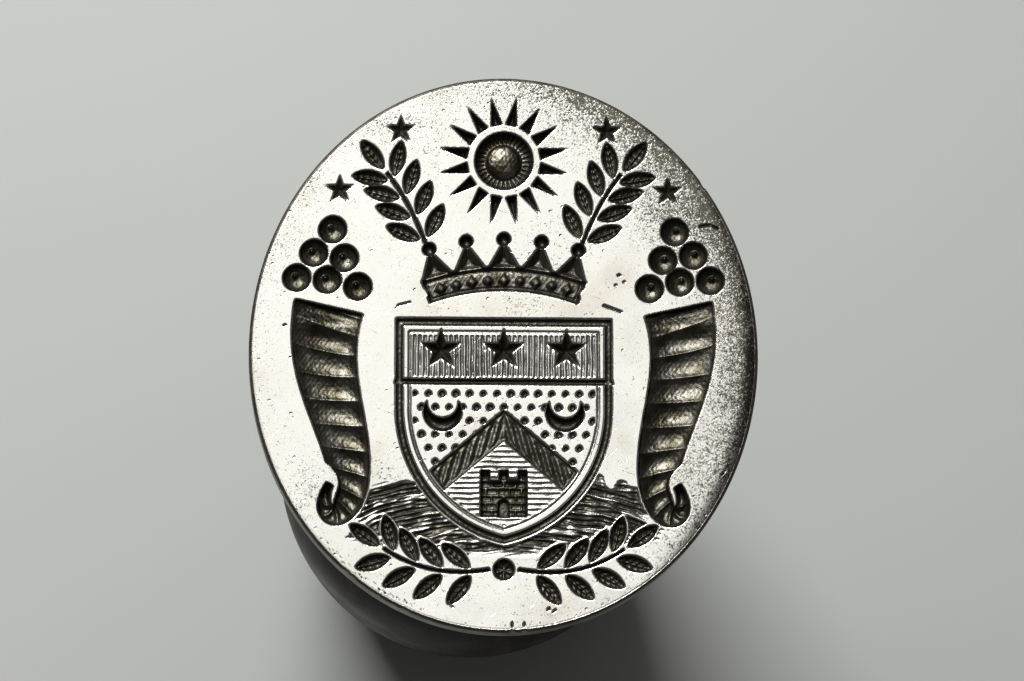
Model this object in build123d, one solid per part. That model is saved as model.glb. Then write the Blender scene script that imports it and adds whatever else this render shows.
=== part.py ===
"""Wax seal stamp: an oval engraved steel die that screws into a turned hardwood handle.

The stamp stands on the handle's flat foot with the engraved face up. The origin is the centre
of that foot, +Z runs up to the face and +Y is the top of the engraved design.
All sizes are in millimetres.
"""

import math
import os

from build123d import *

# Die: the oval face, its rim, the flared back and the neck
FACE_WIDTH = 30.0
FACE_HEIGHT = 33.0
RIM_BEVEL = 0.3
RIM_WALL = 1.7
FLARE_DEPTH = 6.2
FLARE_SECTIONS = 5
NECK_DIAMETER = 8.6
NECK_LENGTH = 1.6
NECK_BEAD_BULGE = 1.1
NECK_BEAD_LENGTH = 1.4
SHOULDER_DIAMETER = 12.6
SHOULDER_THICKNESS = 1.5

# Screw stud fixed in the die's neck, and the fits around it
STUD_DIAMETER = 6.0
STUD_SEAT_DEPTH = 4.6
STUD_TIP_CHAMFER = 0.6
STUD_END_GAP = 0.6
THREAD_ENGAGEMENT = 8.0
THREAD_CLEARANCE = 0.05
WASHER_CLEARANCE = 0.2

# Leather washer between the die's shoulder and the socket
WASHER_THICKNESS = 0.8

# Brass socket: a flange on the handle's end grain, and a plug bedded in cement
SOCKET_FLANGE_THICKNESS = 1.4
FERRULE_EDGE_SHOWN = 0.4
SOCKET_WALL = 1.5
SOCKET_FLOOR = 2.2
SOCKET_GROOVE_DEPTH = 0.4
SOCKET_GROOVE_WIDTH = 1.2
SOCKET_GROOVE_COUNT = 3
CEMENT_FILM = 0.3

# Brass ferrule round the handle's tenon, and its two nails
TENON_DIAMETER = 13.0
FERRULE_WALL = 0.8
FERRULE_LENGTH = 8.0
FERRULE_BEAD_BULGE = 0.5
FERRULE_BEAD_LENGTH = 1.2
NAIL_DIAMETER = 1.1
NAIL_LENGTH = 2.0
NAIL_DROP = 3.4

# Turned handle, measured up from its flat foot
GRIP_LENGTH = 50.0
GRIP_FOOT_DIAMETER = 19.0
GRIP_FOOT_RADIUS = 1.0
BULB_DIAMETER = 26.0
BULB_HEIGHT = 26.5
COVE_DIAMETER = 11.6
COVE_DROP = 6.4
COLLAR_LENGTH = 2.4
COLLAR_BULGE = 0.6
COLLAR_STEP = 0.5
FERRULE_SEAT_MARGIN = 0.2

# Engraving: how deep the three kinds of cut go, and the plain land round the design
DEEP_CUT = 0.75
LEAF_CUT = 0.5
LINE_CUT = 0.3
PLAIN_LAND = 1.0

# Engraving: the design as drawn, with its own centre as origin and its top along +Y
DRAWN_WIDTH = 28.0
DRAWN_HEIGHT = 31.0
SHIELD_WIDTH = 12.8
SHIELD_HEIGHT = 13.4
SHIELD_TOP = 2.1
SHIELD_SIDE = 5.4
FRAME_LINE = 0.5
CHIEF_HEIGHT = 3.8
CHIEF_LINE = 0.4
STAR_POINTS = 5
STAR_RADIUS = 1.35
STAR_WAIST = 0.55
STAR_SPACING = 3.7
CRESCENT_RADIUS = 1.15
CRESCENT_BITE = 0.9
CRESCENT_X = 3.6
CRESCENT_DROP = 5.6
CHEVRON_DROP = 5.4
CHEVRON_BAND = 1.5
CHEVRON_SLOPE = 40.0
TOWER_WIDTH = 2.8
TOWER_HEIGHT = 2.2
TOWER_FOOT_DROP = 11.8
BATTLEMENT = 0.6
CROWN_BASE = 3.7
CROWN_RADIUS = 12.5
CROWN_SPREAD = 41.0
CROWN_BAND = 1.4
CROWN_POINTS = 5
CROWN_POINT_HEIGHT = 1.7
PEARL_RADIUS = 0.42
SUN_Y = 11.5
SUN_RADIUS = 1.75
SUN_RAYS = 16
RAY_GAP = 0.4
RAY_LENGTH = 1.75
RAY_WIDTH = 0.7
LEAF_ANGLE = 46.0
LEAF_STEM_GAP = 0.25
LEAF_PAIRS = 4
LEAF_LENGTH = 2.3
LEAF_WIDTH = 0.95
SPRIG_STEM = ((4.4, 5.9), (5.4, 8.8), (6.9, 10.7))
GARLAND_STEM = ((0.9, -12.8), (4.4, -13.4), (7.0, -11.6))
KNOT_Y = -12.8
KNOT_RADIUS = 0.65
HORN_LINE = ((10.3, 2.7), (11.7, -3.2), (7.6, -5.4), (7.6, -11.4), (11.8, -10.6), (10.2, -7.8))
HORN_MOUTH_WIDTH = 4.2
HORN_TIP_WIDTH = 0.5
HORN_STATIONS = 10
FRUIT_RADIUS = 0.85
FRUIT_PLACES = ((8.6, 3.9), (10.4, 4.3), (12.2, 4.4), (9.4, 5.6), (11.2, 5.9), (10.1, 7.3))

# Heights of the seats, from the handle's flat foot up
FERRULE_FOOT_Z = GRIP_LENGTH
TENON_TOP_Z = FERRULE_FOOT_Z + FERRULE_LENGTH
SOCKET_TOP_Z = TENON_TOP_Z + SOCKET_FLANGE_THICKNESS
SHOULDER_Z = SOCKET_TOP_Z + WASHER_THICKNESS
BEAD_Z = SHOULDER_Z + SHOULDER_THICKNESS
NECK_Z = BEAD_Z + NECK_BEAD_LENGTH
FLARE_Z = NECK_Z + NECK_LENGTH
RIM_Z = FLARE_Z + FLARE_DEPTH
FACE_Z = RIM_Z + RIM_WALL + RIM_BEVEL
STUD_TIP_Z = SOCKET_TOP_Z - THREAD_ENGAGEMENT
STUD_TOP_Z = SHOULDER_Z + STUD_SEAT_DEPTH

# Radii and depths that several pieces share
STUD_RADIUS = STUD_DIAMETER / 2
SOCKET_BORE_RADIUS = STUD_RADIUS + THREAD_CLEARANCE
SOCKET_BORE_FLOOR_Z = STUD_TIP_Z - STUD_END_GAP
PLUG_RADIUS = SOCKET_BORE_RADIUS + SOCKET_WALL
PLUG_FOOT_Z = SOCKET_BORE_FLOOR_Z - SOCKET_FLOOR
GRIP_BORE_RADIUS = PLUG_RADIUS + CEMENT_FILM
GRIP_BORE_FLOOR_Z = PLUG_FOOT_Z - CEMENT_FILM
FERRULE_RADIUS = TENON_DIAMETER / 2 + FERRULE_WALL
SOCKET_FLANGE_RADIUS = FERRULE_RADIUS - FERRULE_EDGE_SHOWN
NAIL_Z = TENON_TOP_Z - NAIL_DROP


def turned(*outline):
    """A solid turned about Z from edges in the (radius, height) half plane."""
    return revolve(Plane.XZ * make_face(Curve() + list(outline)), axis=Axis.Z)


def rod(radius, foot, top):
    """A plain cylinder on the Z axis between two heights."""
    return Pos(0, 0, foot) * extrude(Circle(radius), top - foot)


# Engraved design

def mirrored_pair(shape):
    """A shape on the right of the design together with its mirror image on the left."""
    return shape + mirror(shape, about=Plane.YZ)


def shield(inset=0.0):
    """Heater shield: straight shoulders, then one arc on each side down to the point."""
    half = SHIELD_WIDTH / 2
    spring = SHIELD_TOP - SHIELD_SIDE
    fall = SHIELD_HEIGHT - SHIELD_SIDE
    radius = (half**2 + fall**2) / (2 * half)
    centre_x = half - radius
    point = math.acos(-centre_x / radius)
    top = SHIELD_TOP - inset
    edge = half - inset
    reach = radius - inset
    foot = spring - math.sqrt(reach**2 - centre_x**2)
    middle = (centre_x + reach * math.cos(point / 2), spring - reach * math.sin(point / 2))
    side = [
        Line((0, top), (edge, top)),
        Line((edge, top), (edge, spring)),
        ThreePointArc((edge, spring), middle, (0, foot)),
    ]
    left = [mirror(line, about=Plane.YZ) for line in side]
    return make_face(Curve() + side + left)


def star(points, radius, waist):
    """Star with straight-sided points, one of them at the top."""
    corners = []
    for index in range(2 * points):
        reach = radius if index % 2 == 0 else waist
        angle = math.pi / 2 + index * math.pi / points
        corners.append((reach * math.cos(angle), reach * math.sin(angle)))
    return Polygon(*corners, align=None)


def leaf(length, width):
    """Pointed leaf along +X from the origin: two arcs that meet at both tips."""
    half = width / 2
    upper = ThreePointArc((0, 0), (length / 2, half), (length, 0))
    lower = ThreePointArc((length, 0), (length / 2, -half), (0, 0))
    return make_face(Curve() + [upper, lower])


def shield_frame():
    """Outline of the shield and the line under its chief."""
    inner = shield(FRAME_LINE)
    chief_y = SHIELD_TOP - CHIEF_HEIGHT
    chief = Pos(0, chief_y) * Rectangle(SHIELD_WIDTH, CHIEF_LINE)
    return (shield() - inner) + (chief & inner)


def chevron():
    """Chevron across the shield, clear of its frame."""
    slope = math.tan(math.radians(CHEVRON_SLOPE))
    half = SHIELD_WIDTH / 2
    apex = SHIELD_TOP - CHEVRON_DROP
    drop = CHEVRON_BAND / math.cos(math.radians(CHEVRON_SLOPE))
    band = Polygon(
        (0, apex),
        (half, apex - half * slope),
        (half, apex - half * slope - drop),
        (0, apex - drop),
        (-half, apex - half * slope - drop),
        (-half, apex - half * slope),
        align=None,
    )
    return band & shield(2 * FRAME_LINE)


def tower():
    """Tower with three battlements on its top edge."""
    wall = Rectangle(TOWER_WIDTH, TOWER_HEIGHT, align=(Align.CENTER, Align.MIN))
    step = (TOWER_WIDTH - BATTLEMENT) / 2
    for index in (-1, 0, 1):
        tooth = Rectangle(BATTLEMENT, TOWER_HEIGHT + BATTLEMENT, align=(Align.CENTER, Align.MIN))
        wall += Pos(index * step, 0) * tooth
    return Pos(0, SHIELD_TOP - TOWER_FOOT_DROP) * wall


def shield_charges():
    """Stars on the chief, crescents over the chevron and a tower under it."""
    charges = tower()
    chief_middle = SHIELD_TOP - CHIEF_HEIGHT / 2
    for index in (-1, 0, 1):
        place = Pos(index * STAR_SPACING, chief_middle)
        charges += place * star(STAR_POINTS, STAR_RADIUS, STAR_WAIST)
    crescent = Circle(CRESCENT_RADIUS) - Pos(0, CRESCENT_RADIUS / 2) * Circle(CRESCENT_BITE)
    return charges + mirrored_pair(Pos(CRESCENT_X, SHIELD_TOP - CRESCENT_DROP) * crescent)


def crown():
    """Open crown: an arched band, and points that each carry a pearl."""
    outer = CROWN_RADIUS + CROWN_BAND
    tip = outer + CROWN_POINT_HEIGHT
    reach = tip * math.tan(math.radians(CROWN_SPREAD / 2))
    wedge = Polygon((0, 0), (-reach, tip), (reach, tip), align=None)
    shape = (Circle(outer) - Circle(CROWN_RADIUS)) & wedge
    step = CROWN_SPREAD / CROWN_POINTS
    half = outer * math.sin(math.radians(step / 2))
    foot = outer * math.cos(math.radians(step / 2))
    for index in range(CROWN_POINTS):
        turn = Rot(0, 0, (index - (CROWN_POINTS - 1) / 2) * step)
        shape += turn * Polygon((-half, foot), (half, foot), (0, tip), align=None)
        shape += turn * Pos(0, tip) * Circle(PEARL_RADIUS)
    return Pos(0, CROWN_BASE - CROWN_RADIUS) * shape


def sun():
    """Sun: a disc inside a ring of separate pointed rays."""
    shape = Circle(SUN_RADIUS)
    foot = SUN_RADIUS + RAY_GAP
    ray = Polygon((foot, -RAY_WIDTH / 2), (foot + RAY_LENGTH, 0), (foot, RAY_WIDTH / 2), align=None)
    for index in range(SUN_RAYS):
        shape += Rot(0, 0, (index + 0.5) * 360 / SUN_RAYS) * ray
    return Pos(0, SUN_Y) * shape


def leafy_branch(stem_points):
    """Pairs of leaves along a bent stem, with one more at its tip."""
    stem = Bezier(*stem_points)
    blade = Pos(LEAF_STEM_GAP, 0) * leaf(LEAF_LENGTH, LEAF_WIDTH)
    places = [(1.0, 0.0)]
    for index in range(LEAF_PAIRS):
        along = (index + 0.5) / LEAF_PAIRS
        places += [(along, -LEAF_ANGLE), (along, LEAF_ANGLE)]
    branch = Sketch()
    for along, turn in places:
        foot, heading = stem @ along, stem % along
        angle = math.degrees(math.atan2(heading.Y, heading.X)) + turn
        branch += Pos(foot.X, foot.Y) * Rot(0, 0, angle) * blade
    return branch


def horn():
    """Horn of plenty: its width shrinks evenly along a hooked centre line."""
    line = Bezier(*HORN_LINE)
    left, right = [], []
    for index in range(HORN_STATIONS + 1):
        along = index / HORN_STATIONS
        half = (HORN_MOUTH_WIDTH + (HORN_TIP_WIDTH - HORN_MOUTH_WIDTH) * along) / 2
        heading = line % along
        across = Vector(-heading.Y, heading.X) * half
        left.append(line @ along + across)
        right.append(line @ along - across)
    edges = [Spline(*left), Line(left[-1], right[-1]), Spline(*right), Line(right[0], left[0])]
    return make_face(Curve() + edges)


def fruit():
    """Round fruit heaped over the mouth of the horn."""
    heap = Sketch()
    for place in FRUIT_PLACES:
        heap += Pos(*place) * Circle(FRUIT_RADIUS)
    return heap


def engraving(face_z):
    """Solids to cut out of the face: the whole design, fitted inside the plain land."""
    width_fit = (FACE_WIDTH - 2 * PLAIN_LAND) / DRAWN_WIDTH
    height_fit = (FACE_HEIGHT - 2 * PLAIN_LAND) / DRAWN_HEIGHT
    fit = min(width_fit, height_fit)
    knot = Pos(0, KNOT_Y) * Circle(KNOT_RADIUS)
    leaves = mirrored_pair(leafy_branch(SPRIG_STEM)) + mirrored_pair(leafy_branch(GARLAND_STEM))
    layers = (
        (DEEP_CUT, shield_charges() + sun() + mirrored_pair(horn()) + mirrored_pair(fruit())),
        (LEAF_CUT, crown() + leaves + knot),
        (LINE_CUT, shield_frame() + chevron()),
    )
    cuts = []
    for depth, drawing in layers:
        for region in drawing.faces():
            fitted = Pos(0, 0, face_z) * scale(Sketch() + region, by=fit)
            cuts.append(extrude(fitted, -depth))
    return cuts


# Pieces

def seal_die():
    """Oval steel die: engraved face, bevelled rim, flared back, beaded neck and shoulder."""
    long_radius, short_radius = FACE_HEIGHT / 2, FACE_WIDTH / 2
    neck_radius = NECK_DIAMETER / 2
    plate = Pos(0, 0, RIM_Z) * extrude(Ellipse(long_radius, short_radius), RIM_WALL + RIM_BEVEL)
    plate = chamfer(plate.edges().group_by(Axis.Z)[-1], RIM_BEVEL)
    sections = []
    for index in range(FLARE_SECTIONS + 1):
        rise = index / FLARE_SECTIONS
        swell = rise**2
        oval = Ellipse(
            neck_radius + (long_radius - RIM_BEVEL - neck_radius) * swell,
            neck_radius + (short_radius - RIM_BEVEL - neck_radius) * swell,
        )
        sections.append(Pos(0, 0, FLARE_Z + FLARE_DEPTH * rise) * oval)
    head = Rot(0, 0, 90) * (plate + loft(sections))
    shoulder = SHOULDER_DIAMETER / 2
    bead_middle = (neck_radius + NECK_BEAD_BULGE, BEAD_Z + NECK_BEAD_LENGTH / 2)
    stem = turned(
        Polyline((0, FLARE_Z), (0, SHOULDER_Z), (shoulder, SHOULDER_Z)),
        Polyline((shoulder, SHOULDER_Z), (shoulder, BEAD_Z), (neck_radius, BEAD_Z)),
        ThreePointArc((neck_radius, BEAD_Z), bead_middle, (neck_radius, NECK_Z)),
        Polyline((neck_radius, NECK_Z), (neck_radius, FLARE_Z), (0, FLARE_Z)),
    )
    stud_hole = rod(STUD_RADIUS, SHOULDER_Z, STUD_TOP_Z)
    return (head + stem) - stud_hole - engraving(FACE_Z)


def screw_stud():
    """Steel stud, fixed in the die's neck, that screws into the handle's socket."""
    stud = rod(STUD_RADIUS, STUD_TIP_Z, STUD_TOP_Z)
    return chamfer(stud.edges().group_by(Axis.Z)[0], STUD_TIP_CHAMFER)


def die_washer():
    """Leather washer that the die's shoulder clamps on the socket."""
    ring = rod(SHOULDER_DIAMETER / 2, SOCKET_TOP_Z, SHOULDER_Z)
    return ring - rod(STUD_RADIUS + WASHER_CLEARANCE, SOCKET_TOP_Z, SHOULDER_Z)


def socket_body():
    """Socket without its bore: flange, and a plug with grooves that key it into the cement."""
    flange = rod(SOCKET_FLANGE_RADIUS, TENON_TOP_Z, SOCKET_TOP_Z)
    body = flange + rod(PLUG_RADIUS, PLUG_FOOT_Z, TENON_TOP_Z)
    step = (TENON_TOP_Z - PLUG_FOOT_Z) / (SOCKET_GROOVE_COUNT + 1)
    for index in range(SOCKET_GROOVE_COUNT):
        middle = PLUG_FOOT_Z + (index + 1) * step
        low, high = middle - SOCKET_GROOVE_WIDTH / 2, middle + SOCKET_GROOVE_WIDTH / 2
        body -= rod(PLUG_RADIUS, low, high) - rod(PLUG_RADIUS - SOCKET_GROOVE_DEPTH, low, high)
    return body


def threaded_socket():
    """Brass socket that takes the die's screw stud."""
    return socket_body() - rod(SOCKET_BORE_RADIUS, SOCKET_BORE_FLOOR_Z, SOCKET_TOP_Z)


def socket_cement():
    """Hard cement that fills the handle's bore round the plug."""
    return rod(GRIP_BORE_RADIUS, GRIP_BORE_FLOOR_Z, TENON_TOP_Z) - socket_body()


def ferrule_nail(side):
    """Short nail through the ferrule into the tenon, flush with the ferrule."""
    nail = extrude(Circle(NAIL_DIAMETER / 2), NAIL_LENGTH)
    return Pos(side * FERRULE_RADIUS, 0, NAIL_Z) * Rot(0, -90 * side, 0) * nail


def ferrule_nails():
    """Both nails, one on each side."""
    return [ferrule_nail(-1), ferrule_nail(1)]


def ferrule():
    """Brass ferrule with a rounded bead at its lower edge."""
    bore, outer = TENON_DIAMETER / 2, FERRULE_RADIUS
    bead_top = FERRULE_FOOT_Z + FERRULE_BEAD_LENGTH
    bead_middle = (outer + FERRULE_BEAD_BULGE, FERRULE_FOOT_Z + FERRULE_BEAD_LENGTH / 2)
    band = turned(
        Polyline((outer, FERRULE_FOOT_Z), (bore, FERRULE_FOOT_Z), (bore, TENON_TOP_Z)),
        Polyline((bore, TENON_TOP_Z), (outer, TENON_TOP_Z), (outer, bead_top)),
        ThreePointArc((outer, bead_top), bead_middle, (outer, FERRULE_FOOT_Z)),
    )
    return band - ferrule_nails()


def handle_grip():
    """Turned hardwood grip: swelling bulb, cove, collar and the tenon that carries the ferrule."""
    foot, bulb, cove = GRIP_FOOT_DIAMETER / 2, BULB_DIAMETER / 2, COVE_DIAMETER / 2
    tenon, seat = TENON_DIAMETER / 2, FERRULE_RADIUS + FERRULE_SEAT_MARGIN
    root = seat - COLLAR_STEP
    cove_z = FERRULE_FOOT_Z - COVE_DROP
    collar_z = FERRULE_FOOT_Z - COLLAR_LENGTH
    turn = ((bulb + cove) / 2, (BULB_HEIGHT + cove_z) / 2)
    collar_middle = (seat + COLLAR_BULGE, FERRULE_FOOT_Z - COLLAR_LENGTH / 2)
    blank = turned(
        Line((0, 0), (foot - GRIP_FOOT_RADIUS, 0)),
        TangentArc((foot - GRIP_FOOT_RADIUS, 0), (foot, GRIP_FOOT_RADIUS), tangent=(1, 0)),
        TangentArc((bulb, BULB_HEIGHT), (foot, GRIP_FOOT_RADIUS), tangent=(0, -1)),
        TangentArc((bulb, BULB_HEIGHT), turn, tangent=(0, 1)),
        TangentArc((cove, cove_z), turn, tangent=(0, -1)),
        TangentArc((cove, cove_z), (root, collar_z), tangent=(0, 1)),
        Line((root, collar_z), (seat, collar_z)),
        ThreePointArc((seat, collar_z), collar_middle, (seat, FERRULE_FOOT_Z)),
        Polyline((seat, FERRULE_FOOT_Z), (tenon, FERRULE_FOOT_Z), (tenon, TENON_TOP_Z)),
        Polyline((tenon, TENON_TOP_Z), (0, TENON_TOP_Z), (0, 0)),
    )
    bore = rod(GRIP_BORE_RADIUS, GRIP_BORE_FLOOR_Z, TENON_TOP_Z)
    return blank - bore - ferrule_nails()


PIECES = {
    "seal_die": seal_die,
    "screw_stud": screw_stud,
    "die_washer": die_washer,
    "threaded_socket": threaded_socket,
    "socket_cement": socket_cement,
    "ferrule": ferrule,
    "ferrule_nails": ferrule_nails,
    "handle_grip": handle_grip,
}

os.makedirs("parts", exist_ok=True)
for name, make in PIECES.items():
    made = make()
    solids = made if isinstance(made, list) else made.solids()
    export_step(Compound(children=list(solids)), f"parts/{name}.step")
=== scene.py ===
"""Dressed wax seal stamp: an engraved steel die on a turned dark wood handle.

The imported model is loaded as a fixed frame. Each piece is a surface worked out on a grid in that
frame, in millimetres, and is then dressed with a procedural finish and lit in a small studio.
"""

import math

import bpy
import numpy as np
from bpy.props import FloatProperty, FloatVectorProperty, IntProperty, PointerProperty
from bpy.types import Operator, Panel, PropertyGroup
from mathutils import Matrix, Vector


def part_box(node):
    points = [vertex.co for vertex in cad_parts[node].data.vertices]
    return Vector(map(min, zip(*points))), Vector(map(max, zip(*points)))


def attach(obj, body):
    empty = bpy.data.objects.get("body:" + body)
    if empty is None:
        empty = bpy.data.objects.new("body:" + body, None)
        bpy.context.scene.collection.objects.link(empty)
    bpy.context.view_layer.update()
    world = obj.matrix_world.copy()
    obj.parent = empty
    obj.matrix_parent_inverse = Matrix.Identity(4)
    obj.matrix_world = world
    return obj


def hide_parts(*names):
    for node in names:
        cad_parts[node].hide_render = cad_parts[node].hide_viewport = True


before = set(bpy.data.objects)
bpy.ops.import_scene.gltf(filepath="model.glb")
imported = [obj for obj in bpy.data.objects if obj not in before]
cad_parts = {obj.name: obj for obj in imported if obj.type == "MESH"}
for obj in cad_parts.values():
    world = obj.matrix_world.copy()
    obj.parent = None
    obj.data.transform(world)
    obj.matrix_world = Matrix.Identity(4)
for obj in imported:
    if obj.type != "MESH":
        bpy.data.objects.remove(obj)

bl_info = {
    "name": "Wax seal stamp",
    "version": (1, 0, 0),
    "blender": (4, 5, 0),
    "location": "View3D > Sidebar > Seal",
    "description": "Builds an engraved wax seal stamp on its packed frame and sets a studio for it",
    "category": "Object",
}

MM = 0.001
FULL_TURN = 2 * math.pi
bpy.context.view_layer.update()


def node_box(node):
    """Lowest and highest corner of a CAD node, in millimetres."""
    low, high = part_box(node)
    return np.array(low) / MM, np.array(high) / MM


# Places and sizes that the frame gives, in millimetres
DIE_LOW, DIE_HIGH = node_box("seal_die")
STUD_LOW, STUD_HIGH = node_box("screw_stud")
WASHER_LOW, WASHER_HIGH = node_box("die_washer")
SOCKET_LOW, SOCKET_HIGH = node_box("threaded_socket")
FERRULE_LOW, FERRULE_HIGH = node_box("ferrule")
NAILS_LOW, NAILS_HIGH = node_box("ferrule_nails")
CEMENT_LOW, CEMENT_HIGH = node_box("socket_cement")
BULB_RADIUS = node_box("handle_grip")[1][0]
FACE_Z = DIE_HIGH[2]
RIM_RADII = (DIE_HIGH - DIE_LOW)[:2] / 2
SHOULDER_Z = DIE_LOW[2]
SHOULDER_RADIUS = WASHER_HIGH[0]
STUD_RADIUS = STUD_HIGH[0]
SOCKET_FLANGE_RADIUS = SOCKET_HIGH[0]
TENON_TOP_Z = FERRULE_HIGH[2]
FERRULE_FOOT_Z = FERRULE_LOW[2]
GRIP_BORE_RADIUS = CEMENT_HIGH[0]

# Die: rim, flare and neck
RIM_BEVEL = 0.3
RIM_WALL = 1.7
RIM_WALL_STEPS = 9
BEVEL_POWER = 3.0
BEVEL_STEPS = 10
FLARE_DEPTH = 6.2
FLARE_STEPS = 40
NECK_RADIUS = 4.3
NECK_LENGTH = 1.6
NECK_BEAD_BULGE = 1.1
NECK_BEAD_LENGTH = 1.4
SHOULDER_THICKNESS = 1.5
EDGE_BREAK = 0.12
FACE_SLAB = 1.2
FACE_RADII = RIM_RADII - RIM_BEVEL

# Die heights, from the shoulder up
BEAD_Z = SHOULDER_Z + SHOULDER_THICKNESS
NECK_Z = BEAD_Z + NECK_BEAD_LENGTH
FLARE_Z = NECK_Z + NECK_LENGTH
WALL_TOP_Z = FACE_Z - RIM_BEVEL
RIM_Z = WALL_TOP_Z - RIM_WALL

# Stud, washer and socket
THREAD_PITCH = 1.0
THREAD_DEPTH = 0.5
THREAD_FLANK = 2.4
THREAD_ROOT = 0.1
THREAD_SIDES = 96
THREAD_STATIONS = 340
STUD_TIP_CHAMFER = 0.6
THREAD_CLEARANCE = 0.05
WASHER_CLEARANCE = 0.2
WASHER_BULGE = 0.12
WASHER_HOLE_BULGE = 0.1
SOCKET_WALL = 1.5
SOCKET_FLOOR = 2.2
SOCKET_MOUTH = 0.35
KNURL_TEETH = 90
KNURL_TOOTH_SIDES = 8
KNURL_DEPTH = 0.12

# Ferrule, its nails and the handle
FERRULE_EDGE_SHOWN = 0.4
FERRULE_RADIUS = SOCKET_FLANGE_RADIUS + FERRULE_EDGE_SHOWN
FERRULE_WALL = 0.8
FERRULE_BEAD_BULGE = 0.5
FERRULE_BEAD_LENGTH = 1.2
FERRULE_BEAD_GAP = 0.05
FERRULE_LINE_DROPS = (1.0, 1.5)
FERRULE_LINE_DEPTH = 0.09
FERRULE_LINE_WIDTH = 0.08
FERRULE_STATIONS = 110
FERRULE_SIDES = 192
NAIL_RADIUS = 0.55
NAIL_LENGTH = 2.0
NAIL_DOME = 0.12
NAIL_DOME_FOOT = 0.05
NAIL_TIP = 0.05
NAIL_STATIONS = 10
NAIL_SIDES = 40
LATHE_MARK = ((0.3, 0.5), (1.1, 0.0))
GRIP_FOOT_RADIUS = 9.5
GRIP_FOOT_EDGE = 1.0
BULB_HEIGHT = 26.5
COVE_RADIUS = 5.8
COVE_DROP = 6.4
COLLAR_LENGTH = 2.4
COLLAR_BULGE = 0.6
COLLAR_STEP = 0.5
FERRULE_SEAT_MARGIN = 0.2
SCRIBED_LINES = (3.2, 4.0, 37.4, 38.2)
SCRIBED_DEPTH = 0.12
SCRIBED_WIDTH = 0.15
TURNED_SIDES = 160
GRIP_FOOT_STEPS = 10
BULB_STEPS = 220
SWEEP_STEPS = 90
COVE_STEPS = 40
COLLAR_STEPS = 25

# Angles between faces, in degrees, from which an edge is shaded sharp
CREASE = 35.0
THREAD_CREASE = 50.0

# Engraved design, from the middle of the face with its top along +Y
SHIELD_WIDTH = 12.8
SHIELD_HEIGHT = 13.4
SHIELD_TOP = 2.1
SHIELD_SIDE = 5.4
FRAME_LINE = 0.5
FINE_LINE = 0.17
FINE_LINE_INSET = 0.85
FIELD_INSET = 1.05
CHIEF_HEIGHT = 3.8
CHIEF_LINE = 0.4
CHIEF_MARGIN = 0.3
STAR_POINTS = 5
STAR_RADIUS = 1.35
STAR_WAIST = 0.55
STAR_SPACING = 3.7
STAR_SLOPE = 0.42
CRESCENT_RADIUS = 1.15
CRESCENT_BITE = 0.9
CRESCENT_X = 3.6
CRESCENT_DROP = 5.6
CRESCENT_SLOPE = 0.36
CHEVRON_DROP = 5.4
CHEVRON_BAND = 1.5
CHEVRON_SLOPE = math.radians(40.0)
CHEVRON_EDGE = 0.25
# Ribs of the chevron in a millimetre across and up
CHEVRON_RIBS = (1.8, 0.5)
TOWER_WIDTH = 2.8
TOWER_HEIGHT = 2.2
TOWER_FOOT_DROP = 11.8
BATTLEMENT = 0.6
BLOCK_HEIGHT = 0.44
BLOCK_LENGTH = 0.7
BLOCK_RISE_SHARE = 0.36
BLOCK_RUN_SHARE = 0.42
JOINT_DEPTH = 0.72
DOOR_RADIUS = 0.42
DOOR_SPRING = 0.75
DOOR_SILL = 0.2
DOOR_SLOPE = 0.2
DOOR_MARGIN = 0.02
CROWN_BASE = 3.7
CROWN_RADIUS = 12.5
CROWN_SPREAD = math.radians(41.0)
CROWN_BAND = 1.4
CROWN_LAP = 0.1
CROWN_POINTS = 5
CROWN_POINT_HEIGHT = 1.7
CROWN_POINT_SLOPE = 0.45
CROWN_EDGE_LINE = 0.14
CROWN_EDGE_INSET = 0.26
LOZENGE_RADIUS = 0.38
LOZENGE_RATIO = 0.9
STONE_RADIUS = 0.3
STONE_SLOPE = 0.16
PEARL_RADIUS = 0.42
SUN_Y = 11.5
SUN_RADIUS = 1.75
SUN_WALL = 0.45
SUN_DOME = 1.05
SUN_RAYS = 16
FLUTE_DEPTH = 0.12
FLUTES_FROM = 1.1
FLUTES_EASE = 0.2
RAY_GAP = 0.4
RAY_LENGTH = 1.75
RAY_WIDTH = 0.7
RAY_SLOPE = 0.2
STEM_WIDTH = 0.24
STEM_SAMPLES = 40
STEM_END = 0.05
STEM_NUDGE = 0.001
LEAF_ANGLE = math.radians(46.0)
LEAF_STEM_GAP = 0.25
LEAF_PAIRS = 4
LEAF_LENGTH = 2.3
LEAF_WIDTH = 0.95
LEAF_SLOPE = 0.4 * LEAF_WIDTH
LEAF_RIB = 0.06
LEAF_EDGE = 0.12
VEIN_MARGIN = 0.1
# Veins in a millimetre along a leaf and across it
LEAF_VEINS = (2.6, 2.2)
SPRIG_STEM = ((4.4, 5.9), (5.4, 8.8), (6.9, 10.7))
GARLAND_STEM = ((0.9, -12.8), (4.4, -13.4), (7.0, -11.6))
KNOT_Y = -12.8
KNOT_RADIUS = 0.65
KNOT_SLOPE = 0.6 * KNOT_RADIUS
KNOT_SPOKES = 5
HORN_LINE = ((10.3, 2.7), (11.7, -3.2), (7.6, -5.4), (7.6, -11.4), (11.8, -10.6), (10.2, -7.8))
HORN_MOUTH_WIDTH = 4.2
HORN_TIP_WIDTH = 0.5
HORN_RIBS = 13
HORN_LIP = 0.035
HORN_LIP_WIDTH = 0.018
HORN_SAMPLES = 120
HORN_END = 0.02
HORN_RIB_SLANT = 0.35
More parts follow.
